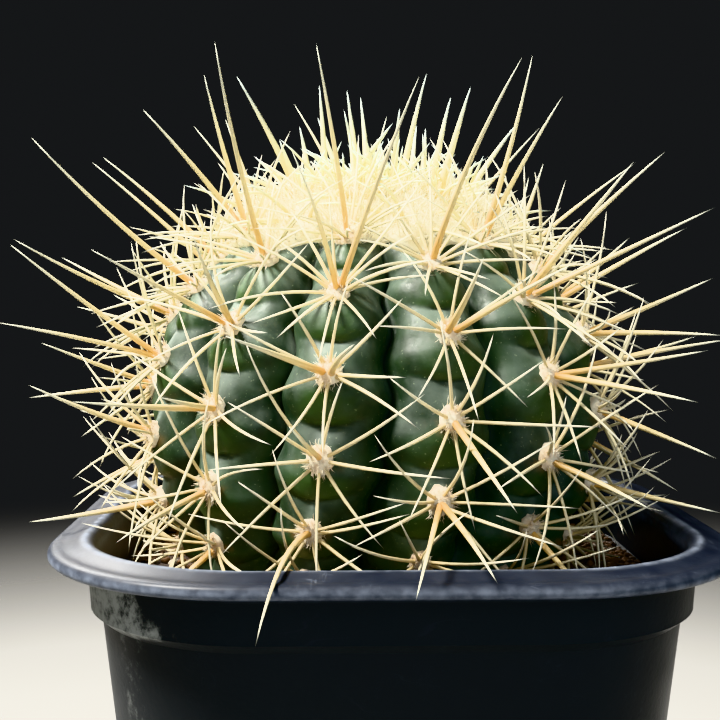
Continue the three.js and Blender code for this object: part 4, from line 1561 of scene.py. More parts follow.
@dataclass
class Soil:
    """Potting mix: a rough bed inside the pot with crumbs of bark and grit on it."""

    form: PlantForm
    pot: Pot
    depth: float = 10.0
    gap: float = 0.35
    hole_gap: float = 0.5
    rings: int = 46
    spokes: int = 200
    bark_count: int = 620
    grit_count: int = 130
    edge_count: int = 700
    edge_reach: float = 4.0
    ledge_width: float = 1.4
    bed_tone: float = 0.4
    bed_rise: float = 0.25
    crumble: float = 0.1
    wall_fall: float = 0.8
    side_depth: float = 6.0
    crumb_rows: int = 4
    crumb_sides: int = 7
    crumb_uneven: Pair = (0.72, 1.15)
    crumb_tilt: float = 0.5
    crumb_rise: float = 0.3
    crumb_stand: float = 0.3
    edge_inset: float = 0.7
    edge_crowding: float = 1.5
    edge_rise: float = 0.4
    seed: int = 7

    # Waves of the bed's surface, as how close they stand and how high they are
    LUMPS = ((0.35, 0.35), (0.8, 0.3), (1.7, 0.22), (3.4, 0.14))

    # Half sizes of the smallest and the largest crumbs
    BARK = ((0.5, 0.4, 0.25), (1.9, 1.2, 0.7))
    GRIT = ((0.4, 0.4, 0.35), (1.0, 0.9, 0.7))
    EDGE = ((0.4, 0.35, 0.2), (1.3, 0.8, 0.5))

    def wall_reach(self, angle: Array, half: float, corner: float, x: float, y: float) -> Array:
        """Distances from a point to a rounded square round the pot's axis.

        Args:
            angle: Angles from +X.
            half: Half width of the square.
            corner: Its corner radius.
            x: Where the point lies along X.
            y: Where the point lies along Y.

        Returns:
            The distances.
        """
        edge = self.pot.ring(half, corner, 0)[:, :2]
        edge_angle = np.arctan2(edge[:, 1] - y, edge[:, 0] - x)
        order = np.argsort(edge_angle)
        reach = np.hypot(edge[:, 0] - x, edge[:, 1] - y)[order]
        return np.interp(angle, edge_angle[order], reach, period=2 * np.pi)

    def bed(self, rng: Draws) -> Surface:
        """Builds the rough bed, with its side and underside.

        Args:
            rng: The draws.

        Returns:
            The surface.
        """
        form = self.form
        neck = float(form.outline(form.length)[0]) + self.hole_gap
        angle = np.arange(self.spokes) * 2 * np.pi / self.spokes
        half, corner, _ = self.pot.wall_ring(self.depth + self.wall_fall, self.pot.wall + self.gap)
        outer = self.wall_reach(angle, half, corner, form.axis_x, form.axis_y)
        share = np.linspace(0, 1, self.rings)[:, None]
        r = neck + (outer - neck) * share
        x = form.axis_x + r * np.cos(angle)
        y = form.axis_y + r * np.sin(angle)
        lumps = np.zeros_like(x)
        for scale, size in self.LUMPS:
            turn, a, b = rng.uniform(0, 2 * np.pi, 3)
            u = x * math.cos(turn) + y * math.sin(turn)
            v = y * math.cos(turn) - x * math.sin(turn)
            lumps += size * np.sin(scale * u + a) * np.sin(scale * 1.3 * v + b)
        lumps += rng.normal(0, self.crumble, x.shape)
        calmed = lumps * np.minimum(1, 6 * (1 - share) + 0.3)
        z = form.soil_top + self.bed_rise + calmed - self.wall_fall * share**4
        top = np.stack([x, y, z], axis=-1).reshape(-1, 3)
        count = self.spokes
        side = np.stack([x[-1], y[-1], np.full(count, form.soil_top - self.side_depth)], axis=-1)
        points = np.concatenate([top, side, self.foot()])
        last = (self.rings + 1) * count
        faces = bands(self.rings + 1, count, downwards=True)
        faces += [tuple(range(last, last + count)), tuple(range(count))]
        tone = np.concatenate([rng.uniform(0, self.bed_tone, len(top)), np.zeros(2 * count)])
        return Surface(points, faces, {"tone": tone})

    def foot(self) -> Array:
        """Lays the ring of the soil's underside, just above the pot's floor.

        Returns:
            Its points.
        """
        angle = np.arange(self.spokes) * 2 * np.pi / self.spokes
        depth = self.pot.height - self.pot.floor_thickness - self.gap
        half, corner, _ = self.pot.wall_ring(depth, self.pot.wall + self.gap)
        r = self.wall_reach(angle, half, corner, 0, 0)
        z = np.full(self.spokes, self.pot.height - depth)
        return np.stack([r * np.cos(angle), r * np.sin(angle), z], axis=-1)

    def crumb(self, rng: Draws, size: Array) -> Surface:
        """Builds one irregular crumb: a squashed ball of a few rings with uneven corners.

        Args:
            rng: The draws.
            size: Half its sizes.

        Returns:
            The crumb round the origin.
        """
        rows, sides = self.crumb_rows, self.crumb_sides
        points = [[0, 0, -1.0]]
        for row in range(1, rows):
            polar = math.pi * row / rows
            level, reach = -math.cos(polar), math.sin(polar)
            for k in range(sides):
                turn = 2 * math.pi * (k + 0.5 * (row % 2)) / sides
                points.append([reach * math.cos(turn), reach * math.sin(turn), level])
        points.append([0, 0, 1.0])
        shape = np.array(points) * rng.uniform(*self.crumb_uneven, (len(points), 1)) * size
        faces: list[Sequence[int]] = [(0, 1 + (k + 1) % sides, 1 + k) for k in range(sides)]
        faces += bands(rows - 2, sides, start=1)
        top = len(points) - 1
        last = top - sides
        faces.extend((last + k, last + (k + 1) % sides, top) for k in range(sides))
        yaw, tilt = rng.uniform(0, 2 * np.pi), rng.uniform(-self.crumb_tilt, self.crumb_tilt)
        spin = np.array(Matrix.Rotation(yaw, 3, "Z") @ Matrix.Rotation(tilt, 3, "X"))
        return Surface(shape @ spin.T, faces, {"tone": np.full(len(points), rng.uniform(0, 1))})

    def crumbs(self, rng: Draws, count: int, low: Triple, high: Triple) -> Surface:
        """Crumbs strewn over the bed.

        Args:
            rng: The draws.
            count: How many.
            low: Smallest half sizes.
            high: Largest half sizes.

        Returns:
            All crumbs as one surface.
        """
        form = self.form
        neck = float(form.outline(form.length)[0])
        half, corner, _ = self.pot.wall_ring(self.depth, self.pot.wall + self.gap)
        made = []
        while len(made) < count:
            x, y = rng.uniform(-half, half, 2)
            size = rng.uniform(low, high)
            margin = float(size.max())
            inside = max(abs(x), abs(y)) < half - margin
            beyond = (max(abs(x) - half + corner, 0), max(abs(y) - half + corner, 0))
            in_corner = math.hypot(*beyond) < corner - margin
            off_neck = math.hypot(x - form.axis_x, y - form.axis_y) > neck + margin
            if not (inside and in_corner and off_neck):
                continue
            crumb = self.crumb(rng, size)
            crumb.points += np.array([x, y, form.soil_top + self.crumb_rise + self.crumb_stand * size[2]])
            made.append(crumb)
        return joined(made)

    def edge_crumbs(self, rng: Draws) -> Surface:
        """Strews small crumbs against the wall, which hide the ledge inside it.

        Args:
            rng: The draws.

        Returns:
            All crumbs as one surface.
        """
        pot = self.pot
        half = pot.collar_half - pot.wall - self.gap
        corner = pot.lip_corner - (pot.lip_half - half) * pot.corner_share
        made = []
        for angle in rng.uniform(-np.pi, np.pi, self.edge_count):
            size = rng.uniform(*self.EDGE)
            spread = self.edge_reach * rng.uniform() ** self.edge_crowding
            away = float(size.max()) * self.edge_inset + spread
            reach = float(self.wall_reach(angle, half, corner, 0, 0)) - away
            rise = max(0.0, 1 - away / self.ledge_width) + self.edge_rise
            x, y = reach * math.cos(angle), reach * math.sin(angle)
            crumb = self.crumb(rng, size)
            crumb.points += np.array([x, y, self.form.soil_top + rise])
            made.append(crumb)
        return joined(made)

    def build(self, effects: SharedEffects) -> None:
        """Makes the bed, the bark and the grit.

        Args:
            effects: The shared node groups.
        """
        rng = np.random.default_rng(self.seed)
        peat = CrumbFinish("peat", srgb(26, 19, 13), srgb(62, 44, 30), 0.9).make(effects)
        bark = CrumbFinish("bark crumbs", srgb(38, 26, 17), srgb(104, 74, 46), 0.8).make(effects)
        stone = CrumbFinish("grit", srgb(96, 88, 76), srgb(176, 166, 146), 0.75).make(effects)
        bark_shape = self.crumbs(rng, self.bark_count, *self.BARK)
        grit_shape = self.crumbs(rng, self.grit_count, *self.GRIT)
        bed_shape = self.bed(rng)
        bark_shape = joined([bark_shape, self.edge_crumbs(rng)])
        make_piece("soil_bed", bed_shape, peat, "soil")
        make_piece("soil_bark", bark_shape, bark, "soil")
        make_piece("soil_grit", grit_shape, stone, "soil")


@dataclass
class Body:
    """The plant's green body, with the fine form of its tubercles."""

    form: PlantForm
    columns: int = 24
    rows: int = 250
    crest_crowding: float = 1.3
    notch: float = 1.5
    notch_reach: float = 0.3
    wave_depth: float = 0.4
    notch_vary: float = 0.3
    ridge_round: float = 0.035
    ramp_slope: float = 0.6
    chin_slope: float = 0.54
    fold_power: float = 7.0
    ramp_curve: float = 1.25
    chin_start: float = 0.5
    chin_full: float = 0.68
    chin_end: Pair = (0.06, 0.36)
    crease_rise: float = 0.2
    crease_stray: float = 0.05
    furrow_sway: float = 0.1
    flank_swell: float = 0.22
    ramp_power: float = 1.0
    chin_power: float = 1.14
    overhang: float = 0.35
    overhang_at: float = 0.9
    overhang_reach: float = 0.08
    seat: float = 0.2
    seat_reach: Pair = (0.2, 0.45)
    wave: float = 0.1
    wave_round: float = 1.3
    wave_fall: float = 2.5
    overhang_side: float = 0.5
    ramp_highlight: float = 0.8
    ramp_side: Pair = (0.02, 0.26)
    lip_side: Pair = (0.3, 0.85)
    chin_side: Pair = (0.2, 0.7)
    cork_at: float = 0.5
    cork_width: float = 0.35
    furrow_shade_start: float = 0.88
    crease_shade_strength: float = 0.35
    crease_width: float = 0.02
    crease_reach: float = 0.28
    crest_highlight_width: float = 0.09
    lip_reach: float = 0.16
    root_radius: float = 6.0
    root_depth: float = 14.0

    def fine_skin(self, rib: Array, across: Array, order: Array) -> tuple[Array, dict[str, Array]]:
        """Skin with its fine relief.

        Args:
            rib: Rib numbers.
            across: Shares from -1 to 1 across the rib.
            order: Places along the rib in areole spacings.

        Returns:
            The points, and the values that the finish reads.
        """
        form = self.form
        side = np.abs(across)
        arc = form.arc_of(order)
        grown = smooth(arc, form.rib_start, form.rib_full)
        fade = 1 - smooth(arc, form.length - form.rib_fade, form.length)
        share, vary = self.tubercle(rib, side, order)
        hang = bell(share - self.overhang_at, self.overhang_reach) * bell(side, self.overhang_side)
        arc = arc + self.overhang * hang * grown * fade
        r, z, out_r, out_z = form.outline(arc)
        nose = self.nose(share, side)
        furrow = form.furrow_depth * self.flank_fall(side, nose)
        soft = (0.5 + 0.5 * np.cos(2 * np.pi * share)) ** self.wave_round
        notch = self.notch * vary * self.crest_fall(share) * bell(side, self.notch_reach)
        notch = notch + self.wave_depth * vary * soft * (1 - side**self.wave_fall)
        bulge = self.flank_swell * np.sin(np.pi * side) * (0.3 + 0.7 * nose)
        to_areole = np.hypot((share - form.notch_at) / self.seat_reach[0], side / self.seat_reach[1])
        seat = self.seat * bell(to_areole, 1.0)
        wave = self.wave * np.sin(4.1 * order + 2.3 * rib + 2 * across)
        wave = wave * np.sin(1.7 * order + 3.1 * across + rib) * (1 - side)
        depth = grown * fade * (furrow + notch + seat - bulge + wave)
        sway = self.furrow_sway * self.sway(rib, across, order) * grown * fade
        angle = form.rib_angle(rib + (across + sway) / 2, arc)
        points = form.at(angle, r - depth * out_r, z - depth * out_z)
        age = 1 - smooth(z, form.soil_top, form.widest + 20)
        upper = smooth(share, 0.0, 0.05) * (1 - smooth(share, form.notch_at - 0.1, form.notch_at + 0.06))
        crease = bell(np.minimum(share, 1 - share), self.crease_width) * np.maximum(0, 1 - 1.6 * side)
        # Lip and ramp masks: pale bloom on the upturned faces between each crease and the areole below it,
        # partly a painted highlight.
        lip = smooth(share, 0.0, 0.04) * bell(share, self.lip_reach) * (1 - smooth(side, *self.lip_side))
        chin = smooth(share, form.notch_at, 0.75) * (1 - smooth(side, *self.chin_side))
        ramp = self.ramp_highlight * upper * (1 - smooth(side, *self.ramp_side))
        # The furrow value is painted shade in furrows and creases; the bloom value is partly waxy bloom and
        # partly painted highlight; the crest value is a painted highlight along the crest.
        values = {
            "furrow": smooth(side, self.furrow_shade_start, 1.0) * grown + self.crease_shade_strength * crease * grown * fade,
            "bloom_and_highlight": np.maximum(lip, ramp) * grown,
            "chin": chin * (1 - smooth(share, 0.95, 1.0)),
            "crest": bell(side, self.crest_highlight_width) * upper,
            "cork": bell(to_areole - self.cork_at, self.cork_width) * age * smooth(share, 0.36, 0.5),
        }
        return points, {name: np.clip(numbers, 0, 1) for name, numbers in values.items()}

    def nose(self, share: Array, side: Array) -> Array:
        """Shapes the crest from 0 on the sharp ramp above an areole to 1 on its blunt chin.

        Args:
            share: Places from crease to crease.
            side: Shares from the crest to the furrow.

        Returns:
            How blunt it is, ending softly on the flanks.
        """
        close = lerp(*self.chin_end, side)
        end = np.clip((share - 1 + close) / close, 0, 1)
        return smooth(share, self.form.notch_at - 0.04, self.chin_full) * (1 - end * end * (3 - 2 * end))

    def flank_fall(self, side: Array, nose: Array) -> Array:
        """Shapes a flank below its crest: an even slope first, then a tight fold into the furrow.

        Args:
            side: Shares from the crest to the furrow.
            nose: How blunt the crest is.

        Returns:
            The depth, 1 in the furrow.
        """
        slope = lerp(self.ramp_slope, self.chin_slope, nose)
        power = lerp(self.ramp_power, self.chin_power, nose)
        ridge = np.hypot(side, self.ridge_round) - self.ridge_round
        return slope * ridge**power + (1 - slope) * side**self.fold_power

    def crest_fall(self, share: Array) -> Array:
        """Shapes the crest: a straight ramp above its areole, a round chin below it.

        Args:
            share: Places from crease to crease.

        Returns:
            How far it lies below its areole, 1 at the crease.
        """
        ramp = np.clip(1 - share / self.form.notch_at, 0, 1) ** self.ramp_curve
        turn = np.clip((share - self.chin_start) / (1 - self.chin_start), 0, 1)
        return ramp + 0.5 * (1 - np.sqrt(1 - turn**2)) + 0.5 * turn**2

    def tubercle(self, rib: Array, side: Array, order: Array) -> tuple[Array, Array]:
        """Finds the place along a tubercle, with creases that rise to the furrow and stray a little.

        Args:
            rib: Rib numbers.
            side: Shares from 0 to 1 from the crest to the furrow.
            order: Places along the rib in areole spacings.

        Returns:
            The share from crease to crease, and the depth of the nearest crease against the usual one.
        """
        form = self.form
        place = order - form.phase(rib) + form.notch_at
        nearest = np.round(place)
        stray = self.crease_stray * np.sin(5.1 * rib + 2.3 * nearest) + self.crease_rise * side**2
        near = bell(place - nearest, self.crease_reach)
        vary = 1 + self.notch_vary * np.sin(2.4 * rib + 3.7 * nearest)
        return (place + stray * near) % 1, vary

    def sway(self, rib: Array, across: Array, order: Array) -> Array:
        """Pushes the furrows sideways where a broad chin lies beside them.

        Args:
            rib: Rib numbers.
            across: Shares from -1 to 1 across the rib.
            order: Places along the rib in areole spacings.

        Returns:
            The push, in half ribs.
        """
        form = self.form
        right = across > 0
        other = np.where(right, (rib + 1) % form.ribs, (rib - 1) % form.ribs)
        own = np.sin(2 * np.pi * (order - form.phase(rib)))
        beside = np.sin(2 * np.pi * (order - form.phase(other)))
        return np.where(right, 0.5, -0.5) * (own - beside) * across**2

    def surface(self) -> Surface:
        """Builds the closed mesh of the body and its root neck.

        Returns:
            The surface.
        """
        form = self.form
        even = np.linspace(-1, 1, self.columns + 1)[:-1]
        across = np.sign(even) * np.abs(even) ** self.crest_crowding
        rib = np.repeat(np.arange(form.ribs), self.columns)[None, :]
        across = np.tile(across, form.ribs)[None, :]
        start = math.acos(1 - 2 * form.crown_flat_arc / form.length) * form.orders / math.pi
        order = np.linspace(start, form.orders, self.rows)[:, None]
        shape = np.broadcast_shapes(rib.shape, order.shape)
        parts = [np.broadcast_to(part, shape) for part in (rib, across, order)]
        grid, values = self.fine_skin(*parts)
        count = shape[1]
        middle = np.array([form.axis_x, form.axis_y, grid[0, :, 2].mean()])
        root = grid[-1].copy()
        spoke = unit(root[:, :2] - middle[:2])
        root[:, :2] = middle[:2] + spoke * self.root_radius
        root[:, 2] = form.soil_top - self.root_depth
        under = np.array([form.axis_x, form.axis_y, root[0, 2]])
        points = np.concatenate([grid.reshape(-1, 3), root, middle[None], under[None]])
        faces = bands(self.rows, count, downwards=True)
        top = len(points) - 2
        last = self.rows * count
        for k in range(count):
            faces.append((k, (k + 1) % count, top))
            faces.append((last + (k + 1) % count, last + k, top + 1))
        rest = np.zeros(len(points) - last)
        spread = {name: np.concatenate([numbers.reshape(-1), rest]) for name, numbers in values.items()}
        return Surface(points, faces, spread)

    def build(self, effects: SharedEffects) -> None:
        """Makes the body."""
        make_piece("cactus_body", self.surface(), SkinFinish().make(effects), "cactus")


@dataclass
class Fibres:
    """Short woolly fibres that curl away from a felt cushion."""

    radius: float = 0.05
    rings: int = 4
    curl: float = 0.5
    taper: float = 0.6
    vary: Pair = (0.7, 1.3)

    def surface(
        self, roots: Array, directions: Array, lengths: Array, ages: Array, rng: Draws
    ) -> Surface:
        """Builds the fibres.

        Args:
            roots: Where each starts.
            directions: Where each first points.
            lengths: Their lengths.
            ages: Ages to colour them by.
            rng: The draws.

        Returns:
            The fibres as one surface.
        """
        along = np.linspace(0, 1, self.rings)
        bend = unit(rng.normal(size=roots.shape)) * (lengths * self.curl)[:, None]
        centres = roots[:, None] + directions[:, None] * (lengths[:, None] * along)[..., None]
        centres = centres + bend[:, None] * (along**2)[None, :, None]
        thin = (1 - self.taper * along[:-1])[None, :]
        radii = self.radius * thin * rng.uniform(*self.vary, (len(roots), 1))
        values = {
            "along": np.tile(along, (len(roots), 1)),
            "age": np.repeat(ages[:, None], self.rings, axis=1),
        }
        return strands(centres, radii, 3, values)


@dataclass
class Felt:
    """Felt cushions of the areoles on the skin."""

    form: PlantForm
    grower: SpineGrower
    half_width: float = 1.7
    half_height: float = 1.95
    rise: float = 1.3
    sink: float = 0.7
    rows: int = 7
    sides: int = 20
    uneven: float = 0.1
    row_crowding: float = 0.9
    level_vary: Pair = (0.85, 1.1)
    fibres: int = 145
    fibre_length: Pair = (0.45, 1.1)
    fibre_seat: float = 0.85
    fibre_lean: float = 0.25
    edge_lean: float = 0.95
    fibre_stray: float = 0.3
    seed: int = 11

    def cushion(self, frame: Frame, size: float, age: float, rng: Draws) -> Surface:
        """Builds the uneven dome of one cushion.

        Args:
            frame: The areole's frame.
            size: Its size.
            age: Its age.
            rng: The draws.

        Returns:
            The cushion.
        """
        rows, sides = self.rows, self.sides
        points, along = [], []
        for row in range(rows):
            polar = math.pi / 2 * (row / (rows - 1)) ** self.row_crowding
            level = self.rise * math.cos(polar) if row < rows - 1 else -self.sink
            reach = max(math.sin(polar), 0.001)
            for k in range(sides):
                turn = 2 * math.pi * k / sides
                bump = 1 + self.uneven * rng.uniform(-1, 1)
                across = frame.side * (self.half_width * size * reach * bump * math.cos(turn))
                uphill = frame.up * (self.half_height * size * reach * bump * math.sin(turn))
                outwards = frame.out * (level * size * rng.uniform(*self.level_vary))
                points.append(frame.place + across + uphill + outwards)
                along.append(0.5 * (1 - reach))
        under = tuple(range(rows * sides - 1, (rows - 1) * sides - 1, -1))
        faces = [tuple(range(sides)), *bands(rows - 1, sides, downwards=True), under]
        values = {"along": np.array(along), "age": np.full(len(points), age)}
        return Surface(np.array(points), faces, values)

    def tufts(self, frame: Frame, size: float, age: float, rng: Draws) -> Surface:
        """Stands fibres all over one cushion.

        Args:
            frame: The areole's frame.
            size: Its size.
            age: Its age.
            rng: The draws.

        Returns:
            The fibres.
        """
        turn = rng.uniform(0, 2 * np.pi, self.fibres)
        reach = np.sqrt(rng.uniform(0, 1, self.fibres))
        across = (self.half_width * size * reach * np.cos(turn))[:, None] * frame.side
        uphill = (self.half_height * size * reach * np.sin(turn))[:, None] * frame.up
        level = self.rise * size * np.sqrt(np.maximum(0, 1 - reach**2)) * self.fibre_seat
        roots = frame.place + across + uphill + level[:, None] * frame.out
        outwards = unit(across + uphill + 1e-6 * frame.up)
        lean = (self.fibre_lean + self.edge_lean * reach)[:, None]
        directions = unit(frame.out + outwards * lean + rng.normal(0, self.fibre_stray, roots.shape))
        lengths = rng.uniform(*self.fibre_length, self.fibres) * size
        return Fibres().surface(roots, directions, lengths, np.full(self.fibres, age), rng)

    def build(self, effects: SharedEffects) -> None:
        """Makes all cushions with their fibres.

        Args:
            effects: The shared node groups.
        """
        rng = np.random.default_rng(self.seed)
        parts = []
        for areole in self.grower.on_skin:
            frame = self.form.areole_frame(areole)
            size = self.form.cushion_scale(areole)
            age = self.grower.age_at(frame.place)
            parts.append(self.cushion(frame, size, age, rng))
            parts.append(self.tufts(frame, size, age, rng))
        finish = FeltFinish("areole felt").make(effects)
        make_piece("areole_felt", joined(parts), finish, "cactus")


@dataclass
class CrownFelt:
    """Woolly cap over the plant's top, which runs out along the rib crests."""

    form: PlantForm
    grower: SpineGrower
    body: Body
    rings: int = 44
    spokes: int = 208
    reach: float = 20.6
    lobe: float = 1.9
    thickness: float = 2.5
    edge_sink: float = 0.35
    inner_share: float = 0.03
    lump: float = 0.12
    stray: float = 0.7
    fibres: int = 8600
    fibre_length: Pair = (0.8, 2.4)
    fibre_sink: float = 0.2
    fibre_curl: float = 0.8
    edge_lean: float = 0.9
    edge_age: float = 0.35
    bristles: int = 1900
    bristle_length: Pair = (2.4, 5.6)
    bristle_radius: float = 0.085
    bristle_sink: float = 0.3
    bristle_curl: float = 0.12
    bristle_band: Pair = (0.25, 1.0)
    seed: int = 23

    # Waves of the felt's edge: how high, how many all round, and where they start
    EDGE_WAVES = ((0.35, 5, 1), (0.3, 11, 4))

    def edge(self, angle: Array) -> Array:
        """Arc length at which the felt ends at a turn from the first rib."""
        uneven = sum(high * np.sin(count * angle + start) for high, count, start in self.EDGE_WAVES)
        return self.reach + self.lobe * np.cos(angle * self.form.ribs) + uneven

    def place(self, arc: Array, angle: Array, lift: Array) -> Array:
        """Places points above the skin.

        Args:
            arc: Distances from the apex along the outline.
            angle: Turns from the first rib.
            lift: Heights above the skin.

        Returns:
            The points.
        """
        form = self.form
        ribs = angle * form.ribs / (2 * np.pi)
        rib = np.round(ribs)
        across = 2 * (ribs - rib)
        order = np.arccos(1 - 2 * arc / form.length) * form.orders / np.pi
        points, _ = self.body.fine_skin(rib, across, order)
        _, _, out_r, out_z = form.outline(arc)
        turn = np.radians(form.front_rib) + angle
        outwards = np.broadcast_arrays(np.sin(turn) * out_r, -np.cos(turn) * out_r, out_z)
        return points + np.stack(outwards, axis=-1) * lift[..., None]

    def level(self, arc: Array, angle: Array) -> Array:
        """Height of the felt above the skin."""
        share = arc / self.edge(angle)
        return self.thickness * np.sqrt(np.clip(1 - share**5, 0, 1)) - self.edge_sink * share**8

    def cap(self, rng: Draws) -> Surface:
        """Builds the lumpy closed cap under the fibres.

        Args:
            rng: The draws.

        Returns:
            The cap.
        """
        angle = np.arange(self.spokes)[None, :] * 2 * np.pi / self.spokes
        share = np.linspace(self.inner_share, 1, self.rings)[:, None]
        arc = share * self.edge(angle)
        angle = np.broadcast_to(angle, arc.shape)
        lift = self.level(arc, angle) + rng.normal(0, self.lump, arc.shape) * (1 - share**6)
        top = self.place(arc, angle, lift)
        flat = self.form.outline(self.form.crown_flat_arc)
        turn = math.radians(self.form.front_rib) + angle[0]
        inner = self.form.at(turn, float(flat[0]) * 0.9, float(flat[1]) - self.edge_sink)
        points = np.concatenate([top.reshape(-1, 3), inner])
        count = self.spokes
        under = tuple(range(len(points) - 1, len(points) - count - 1, -1))
        faces = [tuple(range(count)), *bands(self.rings, count, downwards=True), under]
        values = {"along": np.full(len(points), 0.5), "age": np.zeros(len(points))}
        return Surface(points, faces, values)

    def wool(self, rng: Draws) -> Surface:
        """Lays loose fibres all over the cap.

        Args:
            rng: The draws.

        Returns:
            The fibres.
        """
        angle = rng.uniform(0, 2 * np.pi, self.fibres)
        share = np.sqrt(rng.uniform(0, 1, self.fibres))
        arc = share * self.edge(angle)
        level = self.level(arc, angle)
        roots = self.place(arc, angle, level - self.fibre_sink)
        outer = self.place(arc, angle, level + (1 - self.fibre_sink)) - roots
        spread = unit(roots - roots.mean(axis=0)) * (self.edge_lean * share**3)[:, None]
        directions = unit(outer + spread + rng.normal(0, self.stray, roots.shape))
        lengths = rng.uniform(*self.fibre_length, self.fibres)
        ages = rng.uniform(0, self.edge_age, self.fibres) + self.edge_age * share**6
        return Fibres(curl=self.fibre_curl).surface(roots, directions, lengths, ages, rng)

    def bristle_coat(self, rng: Draws) -> Surface:
        """Lays fine straight bristles that cross each other over the cap's outer band.

        Args:
            rng: The draws.

        Returns:
            The bristles.
        """
        angle = rng.uniform(0, 2 * np.pi, self.bristles)
        share = np.sqrt(rng.uniform(*self.bristle_band, self.bristles))
        arc = share * self.edge(angle)
        level = self.level(arc, angle)
        roots = self.place(arc, angle, level - self.bristle_sink)
        outer = self.place(arc, angle, level + (1 - self.bristle_sink)) - roots
        directions = unit(outer + rng.normal(0, self.stray, roots.shape))
        lengths = rng.uniform(*self.bristle_length, self.bristles)
        hair = Fibres(radius=self.bristle_radius, curl=self.bristle_curl)
        return hair.surface(roots, directions, lengths, np.zeros(self.bristles), rng)

    def build(self, effects: SharedEffects) -> None:
        """Makes the crown's cap, its fibres and its bristles.

        Args:
            effects: The shared node groups.
        """
        rng = np.random.default_rng(self.seed)
        pale = (srgb(252, 247, 224), srgb(246, 234, 200), srgb(220, 188, 152))
        finish = FeltFinish("crown felt", *pale).make(effects)
        cap = self.cap(rng)
        coat = joined([self.wool(rng), self.bristle_coat(rng)])
        make_piece("crown_felt", cap, finish, "crown_wool")
        make_piece("crown_fibres", coat, finish, "crown_wool")


@dataclass(frozen=True)
class SpineShape:
    """How one kind of spine is drawn.

    The bow is a share of its length, and the bulb is how much its base swells. Girth and stretch are its
    thickness and its length against those of the solid model.
    """

    sides: int
    rings: int
    bow: float
    bulb: float
    taper: float = 1.5
    sink: float = 1.2
    girth: float = 1.0
    stretch: float = 1.0


@dataclass
class SpineCoat:
    """All spines as round, slightly bowed and tapered forms."""

    grower: SpineGrower
    girth_vary: Pair = (0.88, 1.12)
    ring_crowding: float = 1.25
    bow_vary: Pair = (0.3, 1.2)
    bow_stray: float = 0.4
    bulb_reach: float = 0.9
    point_round: float = 0.8
    thinnest: float = 0.08
    seed: int = 31

    RADIAL = SpineShape(sides=6, rings=10, bow=0.055, bulb=0.15, taper=2.6, girth=0.92)
    CENTRAL = SpineShape(sides=10, rings=12, bow=0.02, bulb=0.12, girth=0.85)
    UPRIGHT = SpineShape(sides=10, rings=12, bow=0.015, bulb=0.1, girth=1.45)
    YOUNG = SpineShape(sides=7, rings=9, bow=0.04, bulb=0.2, taper=2.0, girth=1.05, stretch=0.78)
    TUFT = SpineShape(sides=5, rings=7, bow=0.07, bulb=0.2, taper=2.4)

    # Colours of the root, the middle, the tip and an old spine
    FINISHES = (
        SpineFinish(
            "radial spines",
            srgb(226, 210, 162), srgb(240, 232, 194), srgb(244, 242, 224), srgb(214, 184, 128)
        ),
        SpineFinish(
            "central spines",
            srgb(220, 176, 104), srgb(246, 230, 176), srgb(238, 241, 222), srgb(208, 160, 92),
            middle_at=0.4
        ),
        SpineFinish(
            "crown spines",
            srgb(234, 214, 146), srgb(247, 241, 200), srgb(222, 236, 230), srgb(228, 204, 140),
            middle_at=0.5
        ),
    )

    def surface(self, kind: SpineKind, shape: SpineShape, rng: Draws) -> Surface:
        """Builds the spines of one kind.

        Args:
            kind: Which spines.
            shape: How they are drawn.
            rng: The draws.

        Returns:
            The spines as one surface.
        """
        chosen = [spine for spine in self.grower.spines if spine.kind is kind]
        root = np.array([spine.root for spine in chosen])
        direction = np.array([spine.direction for spine in chosen])
        length = np.array([spine.length for spine in chosen]) * shape.stretch
        radius = np.array([spine.radius for spine in chosen])
        radius = radius * rng.uniform(*self.girth_vary, len(chosen)) * shape.girth
        out = np.array([spine.out for spine in chosen])
        along = np.linspace(0, 1, shape.rings) ** self.ring_crowding
        reach = along * (length[:, None] + shape.sink) - shape.sink
        centres = root[:, None] + direction[:, None] * reach[..., None]
        lifted = unit(out - direction * np.einsum("ij,ij->i", out, direction)[:, None])
        stray = unit(np.cross(direction, lifted)) * rng.normal(0, self.bow_stray, (len(chosen), 1))
        bow = lifted * rng.uniform(*self.bow_vary, (len(chosen), 1)) + stray
        bow = bow * (length * shape.bow)[:, None]
        free = np.clip(reach / length[:, None], 0, 1)
        arch = np.array([[0, 0, spine.arch] for spine in chosen])
        centres = centres + (bow + arch)[:, None] * (4 * free * (1 - free))[..., None]
        thin = (1 - free[:, :-1] ** shape.taper) ** self.point_round
        swollen = 1 + shape.bulb * bell(np.maximum(reach[:, :-1], 0), self.bulb_reach)
        radii = radius[:, None] * np.maximum(thin, self.thinnest) * swollen
        values = {
            "along": free,
            "age": np.repeat(np.array([spine.age for spine in chosen])[:, None], shape.rings, axis=1),
            "tone": np.repeat(rng.uniform(0, 1, (len(chosen), 1)), shape.rings, axis=1),
        }
        return strands(centres, radii, shape.sides, values)

    def build(self, effects: SharedEffects) -> None:
        """Makes the spines of each kind.

        Args:
            effects: The shared node groups.
        """
        rng = np.random.default_rng(self.seed)
        straw, amber, pale = (finish.make(effects) for finish in self.FINISHES)
        kinds = (
            ("radial_spines", SpineKind.RADIAL, self.RADIAL, straw, "skin", "cactus"),
            ("central_spines", SpineKind.CENTRAL, self.CENTRAL, amber, "skin", "cactus"),
            ("crown_uprights", SpineKind.UPRIGHT, self.UPRIGHT, pale, "wool", "crown_wool"),
            ("crown_spines", SpineKind.YOUNG, self.YOUNG, pale, "wool", "crown_wool"),
            ("crown_tuft", SpineKind.TUFT, self.TUFT, pale, "wool", "crown_wool"),
        )
        for name, kind, shape, finish, slot, node in kinds:
            make_piece(name, self.surface(kind, shape, rng), finish, node)


# Studio


